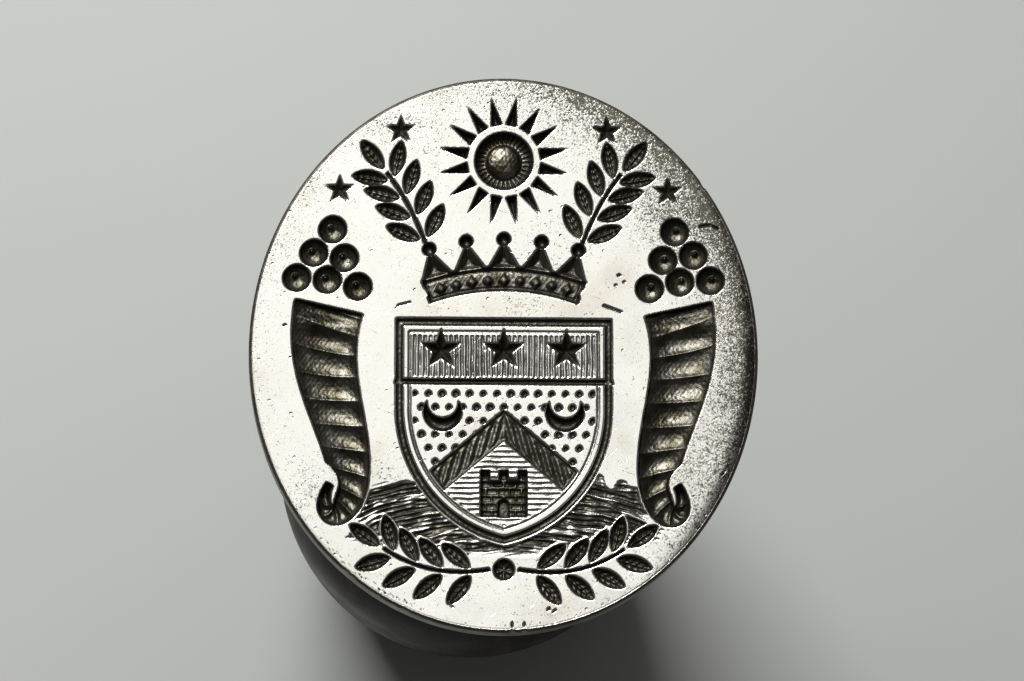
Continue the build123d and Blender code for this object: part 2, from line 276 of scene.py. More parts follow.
# Powers that space the ribs along the horn and round them
HORN_RIB_SPACING = 0.8
HORN_RIB_ROUNDING = 0.6
FRUIT_RADIUS = 0.85
FRUIT_PLACES = ((8.6, 3.9), (10.4, 4.3), (12.2, 4.4), (9.4, 5.6), (11.2, 5.9), (10.1, 7.3))
FRUIT_EYE = (0.12, 0.2)
FRUIT_EYE_RADIUS = 0.13
SMALL_STAR_RADIUS = 0.95
SMALL_STAR_SLOPE = 0.3
SMALL_STAR_PLACES = ((6.1, 13.3), (9.7, 9.7))
GROUND_TOP = -6.4
GROUND_FOOT = -12.0
GROUND_HALF_WIDTH = 8.6
GROUND_BOW = 0.02
GROUND_LINE_PITCH = 0.27
GROUND_EDGE = 0.4

# Depth of each part, or height of what stands up in it, as a share of the cut that it is made with
FINE_LINE_DEPTH = 1.3
DOT_DEPTH = 1.8
CHEVRON_RIB_HEIGHT = 0.2
TOWER_DEPTH = 0.75
DOOR_DEPTH = 1.1
CRESCENT_DEPTH = 0.9
CROWN_BAND_DEPTH = 0.8
CROWN_EDGE_DEPTH = 0.3
CROWN_POINT_DEPTH = 1.15
STONE_HEIGHT = 0.6
PEARL_DEPTH = 1.2
SUN_DEPTH = 0.88
SUN_DOME_HEIGHT = 0.55
RAY_DEPTH = 0.85
STEM_DEPTH = 0.6
LEAF_RIB_HEIGHT = 0.4
VEIN_HEIGHT = 0.16
KNOT_SPOKE_DEPTH = 0.45
HORN_RIB_HEIGHT = 0.38
HORN_LIP_HEIGHT = 0.45
FRUIT_EYE_HEIGHT = 0.4

# Hand of the engraver: steep walls, softened lips, wavering lines, and a land that isn't quite flat
CUT_WALL = 0.14
LIP = 0.1
HATCH_WAVER = 0.03
HATCH_PRESSURE = 0.3
DOT_MARGIN = 0.03
CHATTER = 0.012
CHATTER_FROM = 0.05
CHATTER_FULL = 0.2
LAND_SWAY = 0.002
SWAY_MARGIN = 0.3
# Sizes of lines and dots against the pitch of the hatching
HATCH_WIDTH = 0.62
DOT_STEP = 2.6
DOT_SIZE = 0.72
DOT_SLOPE = 0.5
DOT_UNEVEN = 0.08
# Wavy noise: its sines, and how each one's turn, pace and phase differ from the one before
RIPPLE_WAVES = 7
RIPPLE_TURN = 2.4
RIPPLE_PACE = 0.37
RIPPLE_PHASE = 1.7
RIPPLE_HEIGHT = 4.0
# Depths from which a cut is taken as deep, in the shield and outside it, and up to which as shallow
DEEP_IN_SHIELD = 0.24
DEEP_OUTSIDE = 0.13
SHALLOW = 0.1

# Wear of the land, with painted shade: the heading it is worst along, where its darker right edge also stands
# in for the face's reflection falling off, and the shares of the oval where it and specks begin
WORN_AND_SHADED_HEADING = math.radians(28.0)
RUBBED_AND_SHADED_FROM = 0.62
SPECKED_FROM = 0.84
# Wear of the rim: nicks by angle, depth and width, and a worn stretch between two angles
RIM_NICKS = ((-88.2, 0.16, 0.5), (-85.5, 0.12, 0.4), (-128.0, 0.1, 0.7), (38.0, 0.08, 0.6))
NICK_REACH = 0.9
WORN_RIM_FROM = -136.0
WORN_RIM_TO = -104.0
WORN_RIM_EASE = 6.0
WORN_RIM_DEPTH = 0.07
BITE_REACH = 0.26
CREVICE_WIDTH = 0.25
# Heights on the die over which its finish changes from back to wall, bevel and land
BACK_OVERLAP = 0.4
BACK_EASE = 0.5
WALL_EASE = 0.3
BEVEL_OVERLAP = 0.1
LAND_EASE = 0.02
# Right edge of the land that use has rubbed round: its drop, its width and the angles it covers
EDGE_ROLL = 0.12
EDGE_ROLL_WIDTH = 1.0
EDGE_ROLL_MIDDLE = -8.0
EDGE_ROLL_SPREAD = 36.0
# Knocks in the land: their depth, and the place, length, width and lean of each
KNOCK_DEPTH = 0.16
LAND_KNOCKS = (
    (0.47, -16.05, 0.2, 0.14, 90.0), (1.18, -16.02, 0.16, 0.13, 90.0), (2.6, -15.1, 0.05, 0.17, 0.0),
    (2.95, -15.2, 0.12, 0.13, 30.0), (6.4, 2.7, 1.1, 0.12, -20.0), (11.9, 7.7, 0.6, 0.2, 8.0),
    (12.5, 7.6, 0.3, 0.16, -25.0), (6.8, 4.7, 0.08, 0.15, 0.0), (7.1, 4.3, 0.05, 0.12, 0.0),
    (6.6, 4.1, 0.05, 0.1, 0.0), (-5.9, 2.9, 0.7, 0.1, 15.0), (12.9, -7.0, 0.25, 0.14, 60.0),
    (-12.9, 1.6, 0.06, 0.12, 0.0), (-3.1, -14.9, 0.3, 0.09, -40.0),
)

# Colours of small marks that no setting holds, and how far the film has spread on each brass
PIT_GREY = (0.1, 0.095, 0.085)
THREAD_GREY = (0.4, 0.39, 0.37)
THREAD_OIL = (0.16, 0.13, 0.1)
PORE_BLACK = (0.004, 0.003, 0.002)
WORN_LEATHER = (0.21, 0.115, 0.055)
DUSTY_CEMENT = (0.09, 0.065, 0.045)
SOCKET_FILM = 0.02
FERRULE_FILM = 0.1

# Stage, in metres from the middle of the face, or from the stamp's foot on the table
PANEL_PLACE = Vector((0.0, 0.055, 0.36))
PANEL_SIZE = 0.16
KEY_PLACE = Vector((-0.074, 0.17, 0.196))
KEY_SIZE = 0.155
AIM = Vector((0.00047, 0.00076, 0.0))
TABLE_HALF = 2.0
TABLE_NEAR = 0.09
TABLE_FAR = 0.4
# Brightness of the table's faint unevenness against its colour
TABLE_SHADE = 0.965
# Camera: the width of its sensor in millimetres, and how near and far it sees in metres
SENSOR_WIDTH = 36.0
NEAREST_SEEN = 0.005
FARTHEST_SEEN = 20.0
# Sines of the heights over the horizon where its pale band ends and where it is full
BAND_END = 0.24
BAND_FULL = 0.02
# Brightness of the horizon against the far table's own, which gains what it mirrors of the horizon
HORIZON_LIFT = 1.09


# Settings

def number(name, description, default, **options):
    """A number that a user may change."""
    return FloatProperty(name=name, description=description, default=default, **options)


def fine_length(name, description, millimetres, **limits):
    """A small length that a user may change."""
    return number(name, description, millimetres * MM, unit="LENGTH", precision=5, **limits)


def finish_colour(name, description, default):
    """A colour that a user may change."""
    return FloatVectorProperty(
        name=name, description=description, default=default, size=3, subtype="COLOR", min=0.0, max=1.0
    )


class SealEngravingSettings(PropertyGroup):
    """How deep and how fine the face is cut."""

    deep_cut: fine_length("Deep cut", "Depth of the horns, fruit, stars and sun", 0.75, min=0.0, max=MM)
    leaf_cut: fine_length("Leaf cut", "Depth of the leaves and the crown", 0.5, min=0.0, max=MM)
    line_cut: fine_length("Line cut", "Depth of the shield's frame and the chevron", 0.3, min=0.0, max=MM)
    hatch_pitch: fine_length("Hatch pitch", "Distance between the hatching lines", 0.31, min=0.1 * MM)
    hatch_cut: fine_length("Hatch cut", "Depth of the hatching lines", 0.12, min=0.0)
    cells: IntProperty(
        name="Cells", description="Grid cells along each side of a quarter of the face",
        default=300, min=20, max=310,
    )


class SealFinishSettings(PropertyGroup):
    """Colours of the finishes."""

    land: finish_colour("Land", "Polished steel of the uncut face", (0.92, 0.9, 0.825))
    stain: finish_colour("Stain", "Faint brown film in patches on the land", (0.7, 0.645, 0.53))
    # Also the colour that the dark specks take where they stand as painted shade along the land's right edge.
    tarnish: finish_colour("Tarnish", "Dull steel of the stain and the die's back", (0.12, 0.112, 0.085))
    recess: finish_colour("Recess", "Dull steel on the floors of the cuts", (0.236, 0.226, 0.19))
    recess_dark: finish_colour("Dark recess", "Darker patches on the floors of cuts", (0.08, 0.071, 0.046))
    # Old wax and soot, also laid as painted shade in narrow grooves, on steep walls and along the lips of
    # deep cuts.
    grime: finish_colour("Grime", "Old wax and soot in the corners of the cuts", (0.02, 0.0155, 0.0105))
    wood_dark: finish_colour("Dark wood", "Late wood and pores of the handle", (0.013, 0.0085, 0.0065))
    wood_light: finish_colour("Light wood", "Early wood of the handle", (0.062, 0.033, 0.02))
    brass: finish_colour("Brass", "Clean brass of the ferrule and socket", (0.62, 0.45, 0.19))
    brass_aged: finish_colour("Aged brass", "Brown film on the brass", (0.2, 0.12, 0.05))
    leather: finish_colour("Leather", "Oiled leather of the washer", (0.1, 0.05, 0.025))
    cement: finish_colour("Cement", "Hard pitch round the socket", (0.03, 0.02, 0.014))


class SealStageSettings(PropertyGroup):
    """Camera, floor and lights."""

    distance: number(
        "Camera distance", "From the camera to the middle of the face", 0.33, min=0.1, unit="LENGTH"
    )
    tilt: number(
        "Camera tilt", "Angle between the line of sight and the face's normal",
        math.radians(9.0), subtype="ANGLE",
    )
    swing: number(
        "Camera swing", "Direction of the tilt, from the design's foot towards its left",
        math.radians(16.0), subtype="ANGLE",
    )
    lens: number("Lens", "Focal length on a 36 mm sensor, in millimetres", 197.3, min=10.0)
    floor: finish_colour("Floor", "Colour of the table", (0.62, 0.636, 0.605))
    panel_power: number("Panel power", "Overhead panel that the face mirrors", 0.082, min=0.0, unit="POWER")
    key_power: number("Key power", "Soft lamp from the upper left", 0.94, min=0.0, unit="POWER")
    fill: number("Fill", "Strength of the even light all round", 0.055, min=0.0)
    backdrop: number(
        "Backdrop", "Brightness of the far table and the horizon, as the camera and the metal see it",
        0.8, min=0.0, max=1.0,
    )


# Numbers and noise

def unit(value):
    """The value held between nought and one."""
    return np.clip(value, 0.0, 1.0)


def hump(offset, width):
    """Smooth hump of height one, which falls off with the square of offset over width."""
    return np.exp(-((offset / width) ** 2))


def signed_degrees(degrees):
    """The same angle between -180 and 180 degrees."""
    return (degrees + 180) % 360 - 180


def along_and_across(x, y, heading):
    """Parts of an offset along a heading and to the left of it."""
    return x * math.cos(heading) + y * math.sin(heading), y * math.cos(heading) - x * math.sin(heading)


def ripple(x, y, scale, seed):
    """Even wavy noise between about -1 and 1: a sum of sines whose directions turn by a golden angle."""
    total = np.zeros_like(x)
    for order in range(RIPPLE_WAVES):
        along, _ = along_and_across(x, y, seed + RIPPLE_TURN * order)
        pace = scale * (1.0 + RIPPLE_PACE * order)
        total += np.sin(pace * along + RIPPLE_PHASE * seed * (order + 1))
    return total / RIPPLE_HEIGHT


def blurred(field, cells):
    """Running mean over a square window, from sums along both axes."""
    for axis in (0, 1):
        pad = [(cells + 1, cells) if side == axis else (0, 0) for side in (0, 1)]
        total = np.cumsum(np.pad(field, pad, mode="edge"), axis=axis)
        size = field.shape[axis]
        high = np.take(total, np.arange(2 * cells + 1, 2 * cells + 1 + size), axis=axis)
        low = np.take(total, np.arange(size), axis=axis)
        field = (high - low) / (2 * cells + 1)
    return field


# Meshes from grids

def new_piece(name, points, quads, caps=()):
    """Smooth mesh object from points in millimetres, rows of four corners and many-sided caps."""
    sizes = np.array([4] * len(quads) + [len(cap) for cap in caps], dtype=np.int32)
    corners = np.concatenate([np.ravel(quads), *caps]).astype(np.int32)
    mesh = bpy.data.meshes.new(name)
    mesh.vertices.add(len(points))
    mesh.vertices.foreach_set("co", np.ravel(points * MM).astype(np.float32))
    mesh.loops.add(len(corners))
    mesh.loops.foreach_set("vertex_index", corners)
    mesh.polygons.add(len(sizes))
    mesh.polygons.foreach_set("loop_start", np.cumsum(sizes) - sizes)
    mesh.polygons.foreach_set("use_smooth", np.ones(len(sizes), dtype=bool))
    mesh.update(calc_edges=True)
    if mesh.validate():
        raise RuntimeError(f"{name} had faults in its mesh")
    piece = bpy.data.objects.new(name, mesh)
    bpy.context.scene.collection.objects.link(piece)
    return piece


def carried_piece(name, points, closed=False, crease=CREASE):
    """A profile carried round the axis: points[station, side], going up the outside of the piece.

    Every side joins the next and the last joins the first. An open profile gets a flat cap at
    each end, and a closed one joins its last station to its first.
    """
    stations, sides = points.shape[:2]
    index = np.arange(stations * sides).reshape(stations, sides)
    lower = index if closed else index[:-1]
    upper = np.roll(index, -1, axis=0) if closed else index[1:]
    ring = (lower, np.roll(lower, -1, axis=1), np.roll(upper, -1, axis=1), upper)
    quads = np.stack([np.ravel(part) for part in ring], axis=1)
    caps = () if closed else (index[0, ::-1], index[-1])
    piece = new_piece(name, points.reshape(-1, 3), quads, caps)
    piece.data.set_sharp_from_angle(angle=math.radians(crease))
    return piece


def even_angles(sides):
    """Angles of evenly spaced sides round the axis."""
    return np.arange(sides) * FULL_TURN / sides


def turned_points(profile, sides):
    """Points of a turned surface: each (radius, height) of the profile swept round the axis."""
    angle = even_angles(sides)
    radius = profile[:, :1]
    height = np.repeat(profile[:, 1:], sides, axis=1)
    return np.stack([radius * np.cos(angle), radius * np.sin(angle), height], axis=2)


def line(*corners):
    """Straight run through the corners."""
    return np.array(corners, dtype=float)


def tangent_arc(start, end, tangent, steps):
    """Arc from start to end that leaves start along tangent: it turns by twice the chord's angle."""
    start, chord = np.array(start, dtype=float), np.subtract(end, start)
    first = math.atan2(tangent[1], tangent[0])
    lean = (math.atan2(chord[1], chord[0]) - first + math.pi) % FULL_TURN - math.pi
    radius = np.hypot(*chord) / (2 * math.sin(lean))
    heading = first + np.linspace(0, 2 * lean, steps)
    centre = start + radius * np.array([-math.sin(first), math.cos(first)])
    return centre + radius * np.stack([np.sin(heading), -np.cos(heading)], axis=1)


def bead(start, end, bulge, steps=17):
    """Arc from start to end that swells sideways, to the right of the way up, by bulge."""
    middle, half = np.add(start, end) / 2, np.subtract(end, start) / 2
    reach = np.hypot(*half)
    along = half / reach
    right = np.array([along[1], -along[0]])
    angle = 2 * math.atan(bulge / reach)
    radius = reach / math.sin(angle)
    turn = np.linspace(-angle, angle, steps)[:, None]
    return middle + radius * (np.sin(turn) * along + (np.cos(turn) - math.cos(angle)) * right)


def run_of(*parts):
    """Profile parts one after another, each shared point kept once."""
    joined = [parts[0]]
    for part in parts[1:]:
        touching = np.allclose(joined[-1][-1], part[0], atol=1e-6)
        joined.append(part[1:] if touching else part)
    return np.concatenate(joined)


def give_values(piece, **fields):
    """Stores one number per vertex under each name, for the finish to read."""
    for name, values in fields.items():
        attribute = piece.data.attributes.new(name, "FLOAT", "POINT")
        attribute.data.foreach_set("value", np.ravel(values).astype(np.float32))


# Shapes of the engraving: how far a place lies inside each outline

def hollow(inside, reach, depth):
    """Rounded cut: a quarter ellipse from the edge to full depth at reach, with a softened lip."""
    share = unit(inside / reach)
    return depth * np.sqrt(share * (2.0 - share)) * unit(inside / LIP)


def facet(inside, reach, depth):
    """Straight slope from the edge to full depth at reach."""
    return depth * unit(inside / reach)


def groove(offset, width, depth):
    """Rounded line of a width, from the distance to its middle."""
    return hollow(width / 2 - np.abs(offset), width / 2, depth)


def leaf_inside(u, v):
    """Leaf along u from the origin: inside both of two arcs that meet at its tips."""
    radius = (LEAF_LENGTH**2 + LEAF_WIDTH**2) / (4 * LEAF_WIDTH)
    return radius - np.hypot(u - LEAF_LENGTH / 2, np.abs(v) + radius - LEAF_WIDTH / 2)


def shield_inside(x, y):
    """Heater shield: the least distance to its top, upright sides and, below them, the side arcs."""
    half = SHIELD_WIDTH / 2
    spring = SHIELD_TOP - SHIELD_SIDE
    fall = SHIELD_HEIGHT - SHIELD_SIDE
    radius = (half**2 + fall**2) / (2 * half)
    arc = radius - np.hypot(np.abs(x) - half + radius, y - spring)
    return np.minimum(SHIELD_TOP - y, np.where(y > spring, half - np.abs(x), arc))


def star_inside(across, up, radius):
    """Star about the origin: folded into half of one point, whose edge is a line from tip to waist."""
    half = math.pi / STAR_POINTS
    waist = radius * STAR_WAIST / STAR_RADIUS
    fold = np.abs((np.arctan2(across, up) + half) % (2 * half) - half)
    reach = np.hypot(across, up)
    edge = (waist * math.cos(half) - radius, waist * math.sin(half))
    past = (radius - reach * np.cos(fold)) * edge[1] + reach * np.sin(fold) * edge[0]
    return past / math.hypot(*edge)


def stars_inside(x, y):
    """Row of three stars in the chief: each place belongs to the nearest one."""
    middle = np.clip(np.round(x / STAR_SPACING), -1, 1) * STAR_SPACING
    return star_inside(x - middle, y - SHIELD_TOP + CHIEF_HEIGHT / 2, STAR_RADIUS)


def crescents_inside(x, y):
    """Pair of crescents: inside one disc and outside another set half a radius higher."""
    across, up = np.abs(x) - CRESCENT_X, y - SHIELD_TOP + CRESCENT_DROP
    disc = CRESCENT_RADIUS - np.hypot(across, up)
    return np.minimum(disc, np.hypot(across, up - CRESCENT_RADIUS / 2) - CRESCENT_BITE)


def below_chevron_top(x, y):
    """How far down a place lies from the chevron's upper edge, which falls away on both sides."""
    return SHIELD_TOP - CHEVRON_DROP - y - np.abs(x) * math.tan(CHEVRON_SLOPE)


def chevron_inside(x, y):
    """Chevron: a band below its upper edge, clear of the shield's frame."""
    below = below_chevron_top(x, y) * math.cos(CHEVRON_SLOPE)
    band = np.minimum(below, CHEVRON_BAND - below)
    return np.minimum(band, shield_inside(x, y) - 2 * FRAME_LINE)


def tower_inside(x, y):
    """Tower: a wall, or one of three teeth that stand above it."""
    rise = y - SHIELD_TOP + TOWER_FOOT_DROP
    step = (TOWER_WIDTH - BATTLEMENT) / 2
    tooth = np.clip(np.round(x / step), -1, 1) * step
    teeth = np.minimum(BATTLEMENT / 2 - np.abs(x - tooth), TOWER_HEIGHT + BATTLEMENT - rise)
    wall = np.minimum(TOWER_WIDTH / 2 - np.abs(x), TOWER_HEIGHT - rise)
    return np.minimum(np.maximum(teeth, wall), rise)


def dots_inside(x, y, pitch):
    """Staggered rows of dots, each a little larger or smaller than the next."""
    step = DOT_STEP * pitch
    row = np.round(y / step)
    place = x / step + row / 2
    size = DOT_SIZE + DOT_UNEVEN * np.sin(5.1 * np.round(place) + 3.7 * row)
    return size * pitch - step * np.hypot(place - np.round(place), y / step - row)


def bezier(points, along):
    """Points of a Bezier curve at the given shares: binomial weights of its control points."""
    order = len(points) - 1
    total = np.zeros((len(along), 2))
    for index, point in enumerate(points):
        weight = math.comb(order, index) * along**index * (1 - along) ** (order - index)
        total += weight[:, None] * np.array(point)
    return total


def nearest_on_curve(x, y, points, samples):
    """Nearest stretch of a curve: the share along it, and the signed distances across it and along it."""
    along = np.linspace(0, 1, samples)
    curve = bezier(points, along)
    heading = np.gradient(curve, along, axis=0)
    speed = np.hypot(heading[:, 0], heading[:, 1])
    heading /= speed[:, None]
    best = np.full(x.shape, np.inf)
    nearest = np.zeros(x.shape, dtype=int)
    for index, (cx, cy) in enumerate(curve):
        away = (x - cx) ** 2 + (y - cy) ** 2
        closer = away < best
        best[closer] = away[closer]
        nearest[closer] = index
    dx, dy = x - curve[nearest, 0], y - curve[nearest, 1]
    hx, hy = heading[nearest, 0], heading[nearest, 1]
    beyond = dx * hx + dy * hy
    share = unit(along[nearest] + beyond / speed[nearest])
    return share, dy * hx - dx * hy, beyond


# Depth of each part of the engraving

def hatching(across, x, y, cuts):
    """Parallel lines across a direction, which waver a little and vary in depth as cut by hand."""
    pitch = cuts["pitch"]
    drawn = across + HATCH_WAVER * ripple(x, y, 1.61, 1.1)
    pressure = 1.0 + HATCH_PRESSURE * ripple(x, y, 2.85, 0.6)
    return pressure * groove(drawn - np.round(drawn / pitch) * pitch, HATCH_WIDTH * pitch, cuts["hatch"])


def fields_depth(x, y, charges, cuts):
    """Fields of the shield: upright hatching in the chief, level under the chevron, and dots between."""
    chief = y - SHIELD_TOP + CHIEF_HEIGHT
    dots = hollow(dots_inside(x, y, cuts["pitch"]), DOT_SLOPE * cuts["pitch"], DOT_DEPTH * cuts["hatch"])
    middle = np.where(charges < -DOT_MARGIN, dots, 0.0)
    lower = np.where(below_chevron_top(x, y) > 0, hatching(y, x, y, cuts), middle)
    field = np.where(chief > CHIEF_MARGIN, hatching(x, x, y, cuts), lower)
    return np.where((shield_inside(x, y) > FIELD_INSET) & (np.abs(chief) > CHIEF_MARGIN), field, 0.0)


def tower_depth(x, y, tower, cuts):
    """Staggered blocks with raised joints between them, and an arched door that is cut deeper."""
    rise = y - SHIELD_TOP + TOWER_FOOT_DROP
    course = np.floor(rise / BLOCK_HEIGHT)
    in_course = np.abs(rise / BLOCK_HEIGHT - course - 0.5) < BLOCK_RISE_SHARE
    in_block = np.abs((x / BLOCK_LENGTH + course / 2) % 1 - 0.5) < BLOCK_RUN_SHARE
    share = np.where(in_course & in_block, 1.0, JOINT_DEPTH)
    wall = facet(tower, CUT_WALL, TOWER_DEPTH * cuts["deep"]) * share
    door = np.minimum(DOOR_RADIUS - np.hypot(x, np.maximum(rise - DOOR_SPRING, 0)), DOOR_SILL + rise)
    doorway = hollow(door, DOOR_SLOPE, DOOR_DEPTH * cuts["deep"])
    return np.where(tower > DOOR_MARGIN, np.maximum(wall, doorway), wall)


def shield_depth(x, y, cuts):
    """Frame, fine inner line and chief line, the fields, and the charges that are cut into them."""
    inside = shield_inside(x, y)
    stars, crescents, chevron, tower = (
        shape(x, y) for shape in (stars_inside, crescents_inside, chevron_inside, tower_inside)
    )
    charges = np.maximum.reduce([stars, crescents, chevron, tower])
    chief_cut = groove(y - SHIELD_TOP + CHIEF_HEIGHT, CHIEF_LINE, cuts["line"])
    slanted = np.abs(x) * CHEVRON_RIBS[0] + y * CHEVRON_RIBS[1]
    ribs = np.cos(FULL_TURN * slanted) * (chevron > CHEVRON_EDGE)
    return np.maximum.reduce([
        groove(inside - FRAME_LINE / 2, FRAME_LINE, cuts["line"]),
        groove(inside - FINE_LINE_INSET, FINE_LINE, FINE_LINE_DEPTH * cuts["hatch"]),
        np.where(inside > 0, chief_cut, 0.0),
        fields_depth(x, y, charges, cuts),
        facet(chevron, CUT_WALL, cuts["line"]) * (1 - CHEVRON_RIB_HEIGHT + CHEVRON_RIB_HEIGHT * ribs),
        tower_depth(x, y, tower, cuts),
        facet(stars, STAR_SLOPE, cuts["deep"]),
        hollow(crescents, CRESCENT_SLOPE, CRESCENT_DEPTH * cuts["deep"]),
    ])


def crown_depth(x, y, cuts):
    """Arched band set with stones, and points that each carry a pearl, all on rings round one centre."""
    up_from_centre = y - CROWN_BASE + CROWN_RADIUS
    reach, lean = np.hypot(x, up_from_centre), np.arctan2(x, up_from_centre)
    outer = CROWN_RADIUS + CROWN_BAND
    ends = (CROWN_SPREAD / 2 - np.abs(lean)) * reach
    band = np.minimum.reduce([reach - CROWN_RADIUS, outer + CROWN_LAP - reach, ends])
    step = CROWN_SPREAD / CROWN_POINTS
    turn = lean - np.clip(np.round(lean / step), -(CROWN_POINTS // 2), CROWN_POINTS // 2) * step
    across, up = reach * np.sin(turn), reach * np.cos(turn) - outer * math.cos(step / 2)
    half, height = outer * math.sin(step / 2), CROWN_POINT_HEIGHT + outer * (1 - math.cos(step / 2))
    slope = height / math.hypot(half, height)
    point = np.minimum((half * (1 - up / height) - np.abs(across)) * slope, up + CROWN_LAP)
    pearl = PEARL_RADIUS - np.hypot(across, up - height)
    stone_place = lean / step * 2
    stone_across = np.abs(stone_place - np.round(stone_place)) * step / 2 * reach
    stone_up = np.abs(reach - CROWN_RADIUS - CROWN_BAND / 2)
    lozenge = LOZENGE_RADIUS - stone_across - LOZENGE_RATIO * stone_up
    round_stone = STONE_RADIUS - np.hypot(stone_across, stone_up)
    stone = np.where(np.round(stone_place) % 2 == 0, lozenge, round_stone)
    stones = facet(stone, STONE_SLOPE, STONE_HEIGHT * cuts["leaf"])
    band_cut = facet(band, CUT_WALL, CROWN_BAND_DEPTH * cuts["leaf"]) - stones
    edge_line = groove(band - CROWN_EDGE_INSET, CROWN_EDGE_LINE, CROWN_EDGE_DEPTH * cuts["leaf"])
    return np.maximum.reduce([
        band_cut + np.where(band > CROWN_EDGE_INSET - CROWN_EDGE_LINE, edge_line, 0.0),
        facet(point, CROWN_POINT_SLOPE, CROWN_POINT_DEPTH * cuts["leaf"]),
        hollow(pearl, PEARL_RADIUS, PEARL_DEPTH * cuts["leaf"]),
    ])


def sun_depth(x, y, cuts):
    """Bowl with a domed middle and fluted rim, inside a ring of faceted rays folded into one."""
    reach, angle = np.hypot(x, y - SUN_Y), np.arctan2(y - SUN_Y, x)
    step = FULL_TURN / SUN_RAYS
    turn = angle % step - step / 2
    out = reach * np.cos(turn) - SUN_RADIUS - RAY_GAP
    edge = RAY_WIDTH / 2 * (1 - out / RAY_LENGTH) - reach * np.abs(np.sin(turn))
    dome = np.sqrt(unit(1 - (reach / SUN_DOME) ** 2))
    flutes = FLUTE_DEPTH * np.cos(2 * SUN_RAYS * angle) * unit((reach - FLUTES_FROM) / FLUTES_EASE)
    bowl = hollow(SUN_RADIUS - reach, SUN_WALL, cuts["deep"]) * (SUN_DEPTH + flutes)
    rays = facet(np.minimum(edge, out), RAY_SLOPE, RAY_DEPTH * cuts["deep"])
    return np.maximum(bowl - SUN_DOME_HEIGHT * cuts["deep"] * dome, rays)


def branch_depth(x, y, stem, cuts):
    """Stem and leaves on both sides of the design: each leaf is a hollow with a raised rib and veins."""
    across = np.abs(x)
    share, off, beyond = nearest_on_curve(across, y, stem, STEM_SAMPLES)
    on_stem = (share > 0) & (share < 1) | (np.abs(beyond) < STEM_END)
    depth = np.where(on_stem, groove(off, STEM_WIDTH, STEM_DEPTH * cuts["leaf"]), 0.0)
    stations = [(index + 0.5) / LEAF_PAIRS for index in range(LEAF_PAIRS)]
    pairs = [(station, turn) for station in stations for turn in (-LEAF_ANGLE, LEAF_ANGLE)]
    for along, turn in [(1.0, 0.0), *pairs]:
        before, place, after = bezier(stem, along + np.array([-STEM_NUDGE, 0.0, STEM_NUDGE]))
        heading = math.atan2(*(after - before)[::-1]) + turn
        u, v = along_and_across(across - place[0], y - place[1], heading)
        u = u - LEAF_STEM_GAP
        inside = leaf_inside(u, v)
        rib = hump(v, LEAF_RIB) * unit(inside / LEAF_EDGE)
        slanted = LEAF_VEINS[0] * u - LEAF_VEINS[1] * np.abs(v)
        veins = (0.5 + 0.5 * np.cos(FULL_TURN * slanted)) * (inside > VEIN_MARGIN)
        raised = cuts["leaf"] * (LEAF_RIB_HEIGHT * rib + VEIN_HEIGHT * veins)
        depth = np.maximum(depth, hollow(inside, LEAF_SLOPE, cuts["leaf"]) - raised)
    return depth


def horn_depth(x, y, cuts):
    """Horn of plenty on both sides: a round hollow that tapers along a hooked line, with slanted ribs."""
    share, off, beyond = nearest_on_curve(np.abs(x), y, HORN_LINE, HORN_SAMPLES)
    half = (HORN_MOUTH_WIDTH + (HORN_TIP_WIDTH - HORN_MOUTH_WIDTH) * share) / 2
    ends = np.where((share <= 0) | (share >= 1), -np.abs(beyond), np.inf)
    inside = np.minimum(half - np.abs(off), ends + HORN_END)
    tube = np.sqrt(unit(1 - (off / half) ** 2))
    wave = HORN_RIBS * share**HORN_RIB_SPACING + HORN_RIB_SLANT * off / half
    ribs = np.abs(np.sin(math.pi * wave)) ** HORN_RIB_ROUNDING
    ribbed = cuts["deep"] * tube * (1 - HORN_RIB_HEIGHT + HORN_RIB_HEIGHT * ribs)
    mouth_lip = HORN_LIP_HEIGHT * hump(share - HORN_LIP, HORN_LIP_WIDTH)
    return np.where(inside > 0, ribbed * (1 - mouth_lip) * unit(inside / LIP), 0.0)


def fruit_depth(x, y, cuts):
    """Heaped fruit: round hollows, each with a small raised eye."""
    depth = np.zeros_like(x)
    for cx, cy in FRUIT_PLACES:
        dx, dy = np.abs(x) - cx, y - cy
        eye = hump(np.hypot(dx - FRUIT_EYE[0], dy - FRUIT_EYE[1]), FRUIT_EYE_RADIUS)
        fruit = hollow(FRUIT_RADIUS - np.hypot(dx, dy), FRUIT_RADIUS, cuts["deep"])
        depth = np.maximum(depth, fruit - FRUIT_EYE_HEIGHT * cuts["deep"] * eye)
    return depth


def knot_depth(x, y, cuts):
    """Small rosette where the garland's stems meet: a hollow parted by raised spokes."""
    away = np.hypot(x, y - KNOT_Y)
    between = np.sqrt(np.abs(np.cos(KNOT_SPOKES / 2 * np.arctan2(x, y - KNOT_Y))))
    share = KNOT_SPOKE_DEPTH + (1 - KNOT_SPOKE_DEPTH) * between
    return hollow(KNOT_RADIUS - away, KNOT_SLOPE, cuts["leaf"]) * share


def small_stars_depth(x, y, cuts):
    """Small faceted stars on both sides of the sprigs."""
    stars = [star_inside(np.abs(x) - cx, y - cy, SMALL_STAR_RADIUS) for cx, cy in SMALL_STAR_PLACES]
    return facet(np.maximum.reduce(stars), SMALL_STAR_SLOPE, cuts["leaf"])


